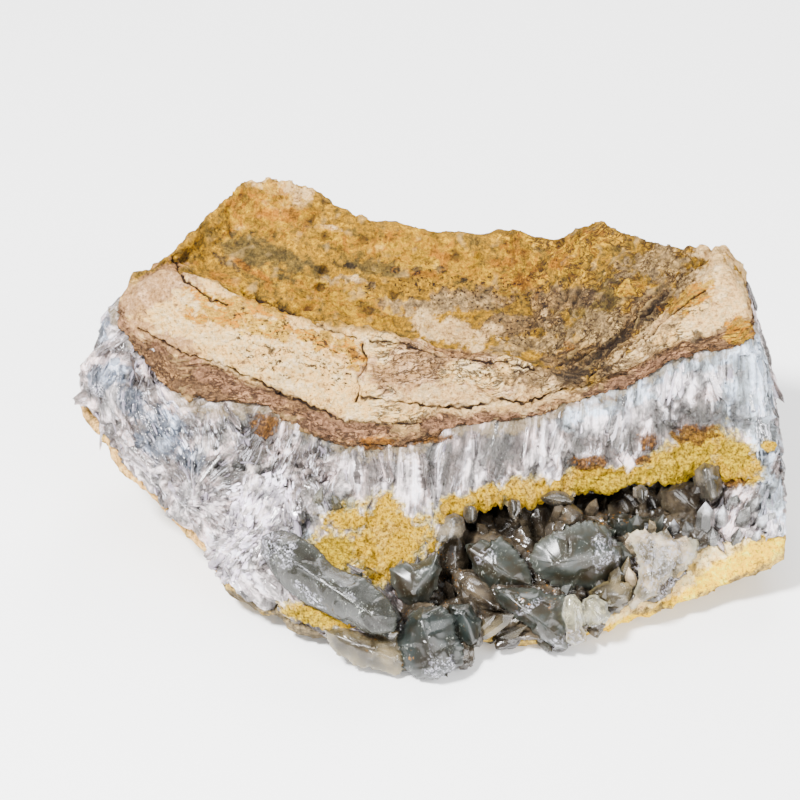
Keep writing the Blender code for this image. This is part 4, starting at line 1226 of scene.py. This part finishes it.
def scatterTree(name):
    # Grows copies of a shape from a surface: thick where a mask is high, along a direction attribute
    tree, given, use = newGroup(name, [
        ("Geometry", "NodeSocketGeometry", None), ("Shape", "NodeSocketObject", None),
        ("Per Square Metre", "NodeSocketFloat", 1000.0),
        ("Mask", "NodeSocketString", "shards"), ("Direction", "NodeSocketString", "grow"),
        ("Smallest Width", "NodeSocketFloat", 0.0005), ("Largest Width", "NodeSocketFloat", 0.001),
        ("Shortest", "NodeSocketFloat", 0.002), ("Longest", "NodeSocketFloat", 0.006),
        ("Tilt", "NodeSocketFloat", 0.3), ("Sunk", "NodeSocketFloat", 0.5), ("Seed", "NodeSocketInt", 1),
        ("Finish", "NodeSocketMaterial", None),
    ], [("Geometry", "NodeSocketGeometry")], "GeometryNodeTree")

    def named(source, kind):
        return put(tree, "GeometryNodeInputNamedAttribute", {"Name": source}, data_type=kind)["Attribute"]

    def chanceOf(low, high, offset):
        return put(tree, "FunctionNodeRandomValue", {
            2: low, 3: high, "Seed": given["Seed"] + offset,
        }, data_type="FLOAT")[1]

    scattered = put(tree, "GeometryNodeDistributePointsOnFaces", {
        "Mesh": given["Geometry"], "Density": given["Per Square Metre"] * named(given["Mask"], "FLOAT"),
        "Seed": given["Seed"],
    })
    wide = chanceOf(given["Smallest Width"], given["Largest Width"], 11)
    long = chanceOf(given["Shortest"], given["Longest"], 13)
    inward = put(tree, "ShaderNodeVectorMath", {
        0: scattered["Normal"], 3: given["Sunk"] * wide * -1.0,
    }, operation="SCALE")[0]
    seated = put(tree, "GeometryNodeSetPosition", {"Geometry": scattered["Points"], "Offset": inward})[0]
    aligned = put(tree, "FunctionNodeAlignRotationToVector", {
        "Vector": named(given["Direction"], "FLOAT_VECTOR"),
    }, axis="Z")["Rotation"]
    less = given["Tilt"] * -1.0
    lean = put(tree, "ShaderNodeCombineXYZ", {
        "X": chanceOf(less, given["Tilt"], 3), "Y": chanceOf(less, given["Tilt"], 5),
        "Z": chanceOf(0.0, 6.28, 7),
    })[0]
    turned = put(tree, "FunctionNodeRotateRotation", {
        "Rotation": aligned, "Rotate By": put(tree, "FunctionNodeEulerToRotation", {0: lean})[0],
    }, rotation_space="LOCAL")[0]
    shape = put(tree, "GeometryNodeObjectInfo", {"Object": given["Shape"]})["Geometry"]
    size = put(tree, "ShaderNodeCombineXYZ", {"X": wide, "Y": wide, "Z": long})[0]
    copies = put(tree, "GeometryNodeInstanceOnPoints", {
        "Points": seated, "Instance": shape, "Rotation": turned, "Scale": size,
    })[0]
    tinted = put(tree, "GeometryNodeStoreNamedAttribute", {
        "Geometry": copies, "Name": "tint", "Value": chanceOf(0.0, 1.0, 17),
    }, data_type="FLOAT", domain="INSTANCE")[0]
    real = put(tree, "GeometryNodeRealizeInstances", {"Geometry": tinted})[0]
    finished = put(tree, "GeometryNodeSetMaterial", {"Geometry": real, "Material": given["Finish"]})[0]
    return use(Geometry=finished)


scatter = scatterTree("grown crystals")
slimPrism = prism("slimPrism", 6, 0.7, 0.25, 0.7)
chiselPrism = prism("chiselPrism", 4, 0.55, 0.5, 0.45)

# Widths and lengths from the smallest to the largest in mm, and the number per square metre
smallCrystals = {
    "bandPrisms": {
        "shape": slimPrism, "finish": prismsMaterial, "many": 46000.0, "mask": "shards",
        "wide": (0.8, 2.8), "long": (4.0, 11.0), "tilt": 0.09, "sunk": 0.3, "seed": 5,
    },
    "fanNeedles": {
        "shape": slimPrism, "finish": needlesMaterial, "many": 380000.0, "mask": "fans",
        "wide": (0.3, 1.0), "long": (2.5, 6.5), "tilt": 0.12, "sunk": 0.3, "seed": 21,
    },
    "bandBlades": {
        "shape": chiselPrism, "finish": prismsMaterial, "many": 40000.0, "mask": "blades",
        "wide": (2.0, 5.5), "long": (3.0, 7.0), "tilt": 0.6, "sunk": 0.34, "seed": 9,
    },
    "foilFlakes": {
        "shape": chiselPrism, "finish": foilMaterial, "many": 700000.0, "mask": "foilZone",
        "wide": (0.8, 1.9), "long": (1.6, 4.4), "tilt": 0.34, "sunk": 0.2, "seed": 12,
    },
}


def grown(name, look):
    # Runs the scatter on a copy of the band and hands back the crystals as a plain mesh
    values = {
        "Shape": look["shape"], "Per Square Metre": look["many"], "Mask": look["mask"], "Direction": "grow",
        "Smallest Width": look["wide"][0] * mm, "Largest Width": look["wide"][1] * mm,
        "Shortest": look["long"][0] * mm, "Longest": look["long"][1] * mm, "Tilt": look["tilt"],
        "Sunk": look["sunk"], "Seed": look["seed"], "Finish": look["finish"],
    }
    piece = addPiece(name, band.data.copy())
    step = piece.modifiers.new("grown", "NODES")
    step.node_group = scatter
    for item in scatter.interface.items_tree:
        if item.in_out == "INPUT" and item.name in values:
            step[item.identifier] = values[item.name]
    return settled(piece)


for name, look in smallCrystals.items():
    piece = grown(name, look)
    # They take the blue, white and glassy zones of the band on which they stand
    points = pointsOf(piece)
    ragged = cloud(points, 6.0, 2)
    for zone in bandColours["stains"]:
        setMask(piece, zone, bandSpots(points, zone, ragged))
    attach(piece, "root")
    print(name, len(piece.data.polygons))
for shape in (slimPrism, chiselPrism):
    bpy.data.objects.remove(shape)

# The large crystals of the hollow: each is a lens with a ridge, drawn by its outline in the photograph

lensLook = {
    "rings": 14, "curve": 1.7, "pointsPerPixel": 0.6, "fewestPoints": 20, "facet": 5.0, "facetRelief": 0.28,
    "teeth": 8.0, "fewestTeeth": 5, "toothHeight": 2.8, "largeRound": 260,
}
# Each has its kind, thickness, lift off the rock, two turns in degrees, its ridge's ends and its outline
largeCrystals = {
    "round disc": ("slate", 9.0, 2.2, (14, -6), [(556, 560), (602, 551)], [
        (529, 559), (538, 542), (553, 530), (573, 525), (590, 520), (606, 527), (612, 539), (624, 543),
        (628, 555), (619, 571), (606, 583), (594, 591), (573, 590), (556, 586), (541, 577), (532, 568),
    ]),
    "spear": ("slate", 7.0, 1.5, (-18, 4), [(474, 550), (516, 578)], [
        (466, 545), (479, 543), (482, 537), (491, 543), (500, 536), (518, 551), (529, 568), (534, 586),
        (515, 590), (497, 590), (491, 595), (479, 583), (472, 568), (468, 553),
    ]),
    "lower spear": ("slate", 8.0, 1.6, (-8, 8), [(506, 594), (555, 634)], [
        (495, 589), (521, 587), (541, 590), (556, 596), (566, 595), (565, 612), (569, 624), (565, 636),
        (568, 648), (556, 649), (544, 642), (532, 630), (518, 618), (503, 606), (497, 598),
    ]),
    "hanging crystal": ("slate", 7.0, 1.0, (10, 0), [(428, 568), (410, 592)], [
        (389, 568), (402, 563), (425, 560), (439, 548), (441, 566), (436, 590), (428, 602), (412, 606),
        (398, 598), (391, 584),
    ]),
    "tongue": ("tongue", 9.0, 0.9, (-15, 6), [(286, 552), (376, 616)], [
        (262, 536), (282, 529), (300, 536), (318, 550), (334, 566), (350, 573), (366, 578), (380, 590),
        (392, 603), (399, 617), (394, 631), (380, 634), (362, 631), (343, 623), (322, 612), (302, 602),
        (284, 588), (270, 570), (260, 552),
    ]),
    "bottom cluster": ("teal", 8.0, 1.2, (-6, 4), [(424, 622), (436, 664)], [
        (408, 614), (422, 606), (440, 606), (452, 616), (456, 634), (462, 645), (464, 664), (450, 672),
        (434, 680), (418, 678), (402, 668), (392, 650), (400, 632),
    ]),
    "bottom point": ("teal", 6.0, 0.8, (10, 0), [(460, 614), (470, 638)], [
        (450, 606), (470, 604), (480, 620), (478, 640), (470, 646), (458, 640), (450, 626),
    ]),
    "dark blade": ("smoky", 5.5, 0.6, (16, 0), [(452, 546), (452, 570)], [
        (440, 540), (458, 532), (468, 545), (470, 560), (464, 576), (450, 582), (440, 570), (437, 554),
    ]),
    "low dark blade": ("smoky", 5.0, 0.8, (-10, 8), [(468, 586), (492, 604)], [
        (456, 580), (470, 576), (486, 584), (498, 600), (506, 612), (490, 610), (472, 606), (460, 596),
    ]),
    "brown prism": ("smoky", 7.0, 0.8, (8, -4), [(534, 508), (542, 534)], [
        (519, 503), (534, 498), (552, 504), (559, 520), (553, 538), (540, 545), (526, 536), (520, 520),
    ]),
    "red brown prism": ("smoky", 5.0, 0.5, (-10, 0), [(566, 508), (572, 522)], [
        (558, 506), (572, 502), (583, 512), (581, 526), (566, 528), (557, 520),
    ]),
    "round dome": ("smoky", 7.0, 0.8, (6, 0), [(620, 498), (626, 510)], [
        (609, 504), (614, 492), (626, 488), (636, 494), (639, 506), (632, 517), (618, 520), (610, 513),
    ]),
    "violet brown prism": ("smoky", 7.0, 0.8, (4, 0), [(672, 490), (692, 508)], [
        (660, 492), (672, 482), (688, 478), (700, 486), (704, 504), (694, 518), (676, 518), (662, 508),
    ]),
    "brown block": ("smoky", 5.5, 0.5, (-8, 0), [(648, 494), (656, 510)], [
        (638, 492), (650, 486), (663, 494), (665, 510), (654, 517), (641, 512),
    ]),
    "olive crystal": ("slate", 5.0, 0.6, (0, 14), [(618, 524), (656, 524)], [
        (606, 522), (624, 514), (646, 516), (664, 514), (668, 526), (650, 538), (630, 540), (612, 534),
    ]),
    "amber back": ("amber", 6.0, 0.4, (8, 4), [(626, 552), (618, 592)], [
        (606, 584), (614, 560), (622, 544), (634, 548), (636, 566), (632, 584), (624, 602), (612, 606),
    ]),
    "honey point": ("amber", 5.0, 0.8, (0, 6), [(600, 594), (622, 598)], [
        (590, 592), (604, 582), (616, 578), (632, 586), (630, 604), (618, 614), (602, 610),
    ]),
    "leaf blade": ("clear", 4.0, 3.4, (8, 4), [(572, 602), (574, 632)], [
        (566, 597), (574, 595), (581, 604), (584, 618), (580, 632), (572, 640), (564, 630), (560, 614),
    ]),
    "clear crystal": ("clear", 4.5, 2.4, (-8, 6), [(592, 604), (600, 620)], [
        (584, 600), (596, 596), (608, 602), (610, 616), (600, 626), (588, 626), (581, 614),
    ]),
    "white tip": ("milky", 4.0, 1.6, (0, 8), [(572, 632), (582, 640)], [
        (566, 628), (578, 624), (586, 632), (588, 642), (576, 646), (566, 642),
    ]),
    "milky bundle": ("milky", 8.0, 1.6, (10, 4), [(650, 544), (644, 592)], [
        (628, 533), (640, 529), (650, 533), (662, 531), (674, 540), (688, 536), (700, 540), (697, 554),
        (685, 568), (673, 577), (662, 584), (656, 595), (644, 602), (632, 610), (627, 603), (637, 583),
        (640, 565), (633, 548),
    ]),
    "smoky beige": ("amber", 6.0, 0.6, (-6, 8), [(342, 638), (394, 658)], [
        (322, 630), (338, 622), (358, 626), (376, 632), (398, 632), (412, 646), (410, 664), (396, 676),
        (376, 670), (354, 666), (336, 652),
    ]),
    "lip round crystal": ("grey", 4.0, 0.6, (6, 0), [(470, 508), (471, 519)], [
        (464, 508), (470, 504), (477, 508), (478, 516), (474, 523), (467, 523), (463, 516),
    ]),
    "lip cluster": ("grey", 5.0, 0.4, (8, 0), [(450, 520), (447, 538)], [
        (438, 524), (444, 516), (455, 513), (464, 518), (466, 530), (461, 538), (450, 540), (442, 546),
        (437, 538),
    ]),
    "lip leaf": ("grey", 3.0, 1.0, (-10, 0), [(513, 500), (515, 518)], [
        (507, 503), (512, 497), (519, 501), (520, 511), (516, 523), (510, 516),
    ]),
    "lip block": ("grey", 4.5, 0.6, (0, -6), [(545, 496), (569, 500)], [
        (539, 494), (552, 490), (566, 492), (575, 499), (573, 505), (560, 507), (547, 504), (540, 500),
    ]),
    "lip chip": ("grey", 3.0, 0.6, (6, 0), [(640, 489), (641, 499)], [
        (634, 489), (641, 486), (648, 491), (646, 500), (641, 504), (635, 498),
    ]),
    "hanging grey": ("grey", 6.0, 0.6, (-8, 0), [(706, 470), (713, 496)], [
        (694, 470), (704, 462), (718, 466), (723, 480), (722, 496), (712, 504), (702, 498), (696, 484),
    ]),
}
# Crystals of the lip are seated on the rock above it
seats = {
    "lip round crystal": (470, 502), "lip cluster": (450, 512), "lip leaf": (512, 496),
    "lip block": (558, 490), "lip chip": (641, 484), "hanging grey": (712, 462),
}
# How tall the teeth on an outline are, where not in full
teethHeight = {
    "tongue": 0.15, "lip round crystal": 0.2, "lip leaf": 0.2, "lip block": 0.4, "lip chip": 0.2,
}


def alongOutline(corners, toothed):
    # Even points along the outline, plain and drawn out to crystal points like the teeth of a saw
    corners = np.array(corners, float)
    closed = np.vstack([corners, corners[:1]])
    walked = np.concatenate([[0], np.cumsum(np.linalg.norm(np.diff(closed, axis=0), axis=1))])
    around = walked[-1]
    count = max(lensLook["fewestPoints"], int(around * lensLook["pointsPerPixel"]))
    even = np.linspace(0, around, count, endpoint=False)
    path = np.stack([np.interp(even, walked, closed[:, k]) for k in (0, 1)], 1)
    middle = path.mean(0)
    outward = path - middle
    outward /= np.linalg.norm(outward, axis=1)[:, None]
    teeth = max(lensLook["fewestTeeth"], round(around / lensLook["teeth"]))
    saw = (even / around * teeth + 0.35 * np.sin(even / 7.0 + middle[0])) % 1
    height = (saw - 0.5) * lensLook["toothHeight"] * toothed * min(1, around / lensLook["largeRound"]) ** 2
    return path, path + outward * height[:, None]


def lens(name):
    # A closed ridged lens whose edge is the outline, standing on the surface behind it, and how near
    # its rim each point is
    _, thick, lift, turn, ((u0, v0), (u1, v1)), corners = largeCrystals[name]
    plain, outline = alongOutline(corners, teethHeight.get(name, 1))
    seat = seats.get(name, ((u0 + u1) / 2, (v0 + v1) / 2))
    yaw, pitch = (math.radians(angle) for angle in turn)
    middle = np.array(placeOf(backing, *seat)) + eyeWay * lift
    facing = (towardsEye * math.cos(yaw) * math.cos(pitch) + sideways * math.sin(yaw)
              + upwards * math.sin(pitch))
    facing = np.array(facing.normalized())

    def onPlane(u, v):
        ray = np.array(pixelRay(u, v))
        return np.array(eye) + ray * (((middle - np.array(eye)) @ facing) / (ray @ facing))

    edge = np.array([onPlane(u, v) for u, v in outline])
    even = np.array([onPlane(u, v) for u, v in plain])
    start, end = onPlane(u0, v0), onPlane(u1, v1)
    way = end - start
    share = np.clip((edge - start) @ way / (way @ way), 0, 1)
    spine = start + share[:, None] * way
    rings, count = lensLook["rings"], len(edge)
    loops, centres = [edge], []
    for side in (1, -1):
        for ring in range(1, rings):
            part = ring / rings
            rise = thick / 2 * (1 - (1 - part) ** lensLook["curve"]) * side
            calm = edge + (even - edge) * min(1, part / 0.3)
            loops.append(calm + (spine - calm) * part + facing * rise)
        centres.append(spine.mean(0) + facing * thick / 2 * side)
    pairs = [(i, (i + 1) % count) for i in range(count)]
    faces = []
    for side in range(2):
        order = [0] + [1 + side * (rings - 1) + k for k in range(rings - 1)]
        half = [[low * count + i, low * count + j, high * count + j, high * count + i]
                for low, high in zip(order, order[1:]) for i, j in pairs]
        half += [[order[-1] * count + i, order[-1] * count + j, len(loops) * count + side] for i, j in pairs]
        faces += half if side else [face[::-1] for face in half]
    mesh = closedMesh(name, np.vstack(loops + centres), faces)
    rim = [np.full(count, 1 - ring / rings) for side in range(2) for ring in range(1, rings)]
    return mesh, np.concatenate([np.ones(count)] + rim + [np.zeros(2)])


# Painted sheen, in silky white patches, and golden flecks on the large crystals
sheens = [
    (600, 551, 18, 18, 0), (484, 556, 12, 8, 30), (440, 666, 16, 12, 0), (426, 640, 8, 6, 0),
    (555, 642, 12, 7, 30), (530, 604, 18, 4, 30), (660, 560, 30, 34, 0), (575, 635, 12, 12, 0),
    (350, 592, 14, 4, -40), (278, 546, 26, 14, -38), (310, 594, 22, 6, -38),
]
goldenFlecks = [
    (524, 540, 9, 10, 0), (545, 600, 10, 14, 0), (527, 580, 8, 6, 0), (478, 616, 6, 6, 0),
    (465, 626, 7, 6, 0), (440, 607, 8, 6, 0), (408, 620, 8, 8, 0), (370, 642, 8, 10, 0),
    (407, 657, 7, 9, 0), (380, 600, 14, 16, 0), (484, 605, 6, 6, 0), (520, 600, 12, 12, 0),
    (534, 556, 7, 12, 0), (450, 580, 12, 22, 0), (600, 520, 30, 8, 0), (716, 480, 6, 12, 0),
]


def roughened(piece):
    # Cuts the crystals' faces into small leaning facets, and marks their painted sheen and their flecks
    points, normals = pointsOf(piece), normalsOf(piece)
    wander = cloud(points, 2.5, 3)
    setMask(piece, "sheen", spots(points, backing, sheens, 0.4, wander))
    setMask(piece, "flecks", spots(points, backing, goldenFlecks, 0.4, wander))
    piece.data.polygons.foreach_set("use_smooth", [True] * len(piece.data.polygons))
    push = facetField(points, lensLook["facet"]) * lensLook["facetRelief"]
    push += facetField(points, lensLook["facet"] * 0.4, 3.0) * lensLook["facetRelief"] * 0.16
    setPoints(piece, points + normals * push[:, None])


# Small pointed crystals as (u and v of the root, u and v of the tip, width in pixels, rise in mm)
spikes = {
    "grey": [
        (444, 522, 441, 543, 13, 1.0), (455, 520, 457, 538, 12, 1.0), (700, 470, 702, 500, 15, 1.2),
        (716, 474, 718, 500, 14, 1.2), (404, 552, 402, 570, 13, 1.0), (558, 494, 562, 506, 14, 1.0),
    ],
    "pale": [
        (706, 534, 704, 501, 19, 2.5), (722, 532, 721, 504, 15, 2.0), (740, 530, 746, 506, 15, 2.0),
        (757, 534, 765, 513, 14, 1.5), (716, 550, 711, 528, 15, 1.5), (734, 550, 740, 527, 15, 1.5),
        (752, 548, 758, 530, 13, 1.0), (690, 538, 686, 520, 14, 2.0), (672, 538, 675, 519, 15, 2.0),
        (748, 514, 758, 496, 13, 1.5), (732, 512, 736, 494, 13, 1.5), (764, 528, 775, 512, 12, 1.0),
    ],
    "milky": [
        (636, 560, 629, 533, 15, 2.6), (648, 556, 645, 527, 17, 3.0), (664, 554, 664, 528, 18, 3.0),
        (680, 556, 685, 535, 17, 2.4), (690, 556, 702, 540, 14, 2.0), (634, 590, 627, 566, 13, 3.0),
        (646, 604, 640, 582, 12, 4.0), (672, 578, 682, 562, 13, 3.5), (656, 536, 650, 519, 13, 2.0),
    ],
    "clear": [
        (600, 624, 596, 600, 13, 3.0), (590, 630, 585, 606, 12, 3.0), (606, 622, 611, 598, 12, 2.0),
        (580, 636, 584, 614, 9, 2.5), (312, 512, 324, 486, 12, 2.0), (338, 512, 334, 494, 10, 1.5),
        (350, 512, 352, 496, 9, 1.5),
    ],
    "tongue": [(392, 610, 402, 626, 12, 1.5), (380, 622, 388, 637, 12, 1.5), (352, 584, 362, 572, 12, 1.5)],
    "slate": [
        (598, 556, 630, 552, 20, 3.5), (596, 566, 622, 572, 18, 3.5), (586, 576, 604, 588, 16, 3.0),
        (562, 574, 568, 592, 16, 3.0), (548, 548, 536, 540, 13, 3.0), (570, 540, 566, 522, 14, 3.5),
        (590, 538, 594, 519, 14, 3.5), (512, 572, 534, 582, 15, 3.0), (504, 552, 512, 544, 12, 3.0),
        (620, 538, 612, 516, 15, 1.5), (636, 538, 636, 514, 17, 1.5), (652, 536, 664, 514, 15, 1.5),
        (500, 556, 492, 538, 14, 2.0), (478, 562, 468, 544, 12, 2.0), (448, 640, 460, 662, 13, 1.5),
        (436, 650, 446, 676, 14, 2.0), (412, 646, 402, 670, 14, 1.5), (462, 634, 474, 646, 11, 1.0),
        (612, 574, 626, 560, 13, 2.5), (604, 536, 616, 530, 11, 2.5), (540, 640, 552, 650, 11, 1.5),
        (424, 628, 416, 612, 13, 2.0), (444, 622, 450, 606, 12, 2.0),
    ],
    "smoky": [
        (432, 560, 426, 540, 14, 2.0), (440, 578, 434, 556, 14, 2.0), (452, 548, 446, 528, 14, 2.0),
        (466, 540, 458, 522, 13, 2.0), (540, 520, 534, 500, 15, 2.0), (620, 508, 624, 490, 13, 2.0),
        (632, 508, 636, 492, 12, 2.0), (664, 508, 662, 486, 15, 2.0), (694, 506, 698, 482, 14, 2.0),
        (486, 536, 478, 522, 12, 2.0), (500, 532, 498, 514, 13, 2.0), (514, 530, 520, 512, 12, 2.0),
        (448, 562, 442, 540, 13, 1.5), (452, 600, 446, 580, 13, 1.5), (590, 516, 596, 498, 13, 1.5),
        (604, 514, 606, 496, 11, 1.0), (648, 510, 644, 490, 12, 1.5), (680, 512, 686, 484, 14, 1.5),
        (470, 606, 462, 590, 13, 1.5), (556, 524, 560, 504, 13, 1.5), (478, 600, 490, 588, 12, 1.5),
    ],
    "amber": [
        (612, 600, 616, 566, 14, 2.0), (622, 592, 628, 556, 12, 1.5), (600, 608, 606, 588, 13, 2.0),
        (482, 636, 512, 613, 15, 1.2), (488, 641, 522, 618, 15, 1.6), (496, 643, 527, 626, 13, 1.2),
        (478, 632, 496, 616, 13, 0.8),
    ],
}
spikeLook = {"sides": 6, "sunk": 1.8, "flat": 0.72, "lowerEnd": 0.06, "tipShift": 0.3}


def spike(name, plan):
    # A closed six-sided crystal with flat faces, from its root on the surface to its tip
    u0, v0, u1, v1, wide, rise = plan
    seat = np.array(placeOf(backing, u0, v0))
    tip = seat + (rightWay * (u1 - u0) + upWay * (v0 - v1)) / pixelsPerMm + eyeWay * rise
    root = seat - eyeWay * spikeLook["sunk"]
    way = tip - root
    side = np.cross(way, eyeWay)
    side /= np.linalg.norm(side)
    front = np.cross(side, way)
    front /= np.linalg.norm(front)
    half = wide / pixelsPerMm / 2
    lean = math.sin(u0 * 1.7 + v0 * 2.3)
    sides = spikeLook["sides"]
    corners = []
    for share, size in ((0.0, 0.8), (0.3, 1.0), (0.66 + 0.08 * lean, 0.86)):
        for k in range(sides):
            turn = math.radians(360 / sides * k + 18 * lean)
            bevel = 0.06 * math.sin(k * 2.1 + u1)
            ring = side * math.cos(turn) + front * math.sin(turn) * spikeLook["flat"]
            corners.append(root + way * (share + bevel) + ring * half * size)
    corners += [root - way * spikeLook["lowerEnd"], tip + side * half * spikeLook["tipShift"] * lean]
    faces = [[ring + k, ring + (k + 1) % sides, ring + sides + (k + 1) % sides, ring + sides + k]
             for ring in (0, sides) for k in range(sides)]
    low, high = 3 * sides, 3 * sides + 1
    faces += [[low, (k + 1) % sides, k] for k in range(sides)]
    faces += [[high, 2 * sides + k, 2 * sides + (k + 1) % sides] for k in range(sides)]
    return closedMesh(name, corners, faces, triangles=True)


def joined(name, meshes):
    bm = bmesh.new()
    for mesh in meshes:
        bm.from_mesh(mesh)
    return addPiece(name, meshOf(bm, name))


backing = seenFrom([host, band, rind, crust])
roughened(crust)
for kind, material in glass.items():
    made = []
    lenses = [lens(name) for name, plan in largeCrystals.items() if plan[0] == kind]
    if lenses:
        made.append(joined(kind + "Crystals", [mesh for mesh, rim in lenses]))
        setMask(made[0], "rim", np.concatenate([rim for mesh, rim in lenses]))
        roughened(made[0])
    if kind in spikes:
        made.append(joined(kind + "Points", [spike(kind, plan) for plan in spikes[kind]]))
    for piece in made:
        piece.data.materials.append(material)
        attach(piece, "root")
print("large crystals made")


def readNumbers(items, name, kind):
    found = np.empty(len(items), dtype=kind)
    items.foreach_get(name, found)
    return found


def crusted(piece, least):
    # The faces under the limonite take the second finish
    mesh = piece.data
    marked = [readNumbers(mesh.attributes[name].data, "value", np.float32) for name in ("yellow", "rust")]
    starts = readNumbers(mesh.polygons, "loop_start", np.int32)
    firstCorners = readNumbers(mesh.loops, "vertex_index", np.int32)[starts]
    dull = np.maximum(*marked)[firstCorners] > least
    mesh.polygons.foreach_set("material_index", dull.astype(np.int32))


# The bodies get their finishes and their places in the frame
for piece, node, slot, materials in (
    (host, "host_rock", "tan_rock", [hostMaterial]),
    (band, "celestite", "pale_celestite", [fibrousMaterial, limoniteMaterial]),
    (rind, "rind", "yellow_rind", [skinMaterial]),
    (crust, "cavity_crystals", "smoky_crystal", [glass["smoky"]]),
):
    for material in materials:
        piece.data.materials.append(material)
    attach(piece, "root")
    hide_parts(node)
crusted(band, 0.35)

# Floor, light and camera: soft round lights with their power in watts, size and place in metres

studio = {
    "floor": 1.6, "floorPlace": (0, 0.2, 0), "floorColour": (0.86, 0.86, 0.86, 1), "world": 0.85,
    "aim": (0, 0, 0.03), "lights": {
        "key": (27.5, 0.16, (-0.34, -0.26, 0.66)),
        "fill": (8.5, 0.6, (0.5, -0.45, 0.35)),
        "back": (5.2, 0.4, (0.1, 0.5, 0.5)),
        "front": (7.6, 0.5, (0.1, -0.7, 0.1)),
    },
}


def turnedTo(way):
    return way.to_track_quat("-Z", "Y").to_euler()


def studioFloor():
    bpy.ops.mesh.primitive_plane_add(size=studio["floor"], location=studio["floorPlace"])
    floor = bpy.context.object
    floor.name = "paleFloor"
    material, _, shader = newMaterial("pale floor")
    setPlain(shader, {"Base Color": studio["floorColour"], "Roughness": 0.7})
    floor.data.materials.append(material)


def softLight(name, power, size, spot):
    lamp = bpy.data.lights.new(name, "AREA")
    lamp.energy = power
    lamp.shape = "DISK"
    lamp.size = size
    holder = addPiece(name, lamp)
    holder.location = spot
    holder.rotation_euler = turnedTo(Vector(studio["aim"]) - Vector(spot))


def photoCamera():
    camera = bpy.data.cameras.new("photoView")
    camera.lens = view["lens"]
    camera.sensor_width = view["sensor"]
    camera.clip_start = 0.01
    holder = addPiece("photoView", camera)
    holder.location = eye * mm
    holder.rotation_euler = turnedTo(-towardsEye)
    bpy.context.scene.camera = holder


studioFloor()
for name, (power, size, spot) in studio["lights"].items():
    softLight(name, power, size, spot)
world = bpy.data.worlds.new("studio")
world.use_nodes = True
setPlain(world.node_tree.nodes["Background"], {"Color": (1, 1, 1, 1), "Strength": studio["world"]})
bpy.context.scene.world = world
photoCamera()
print("studio set")
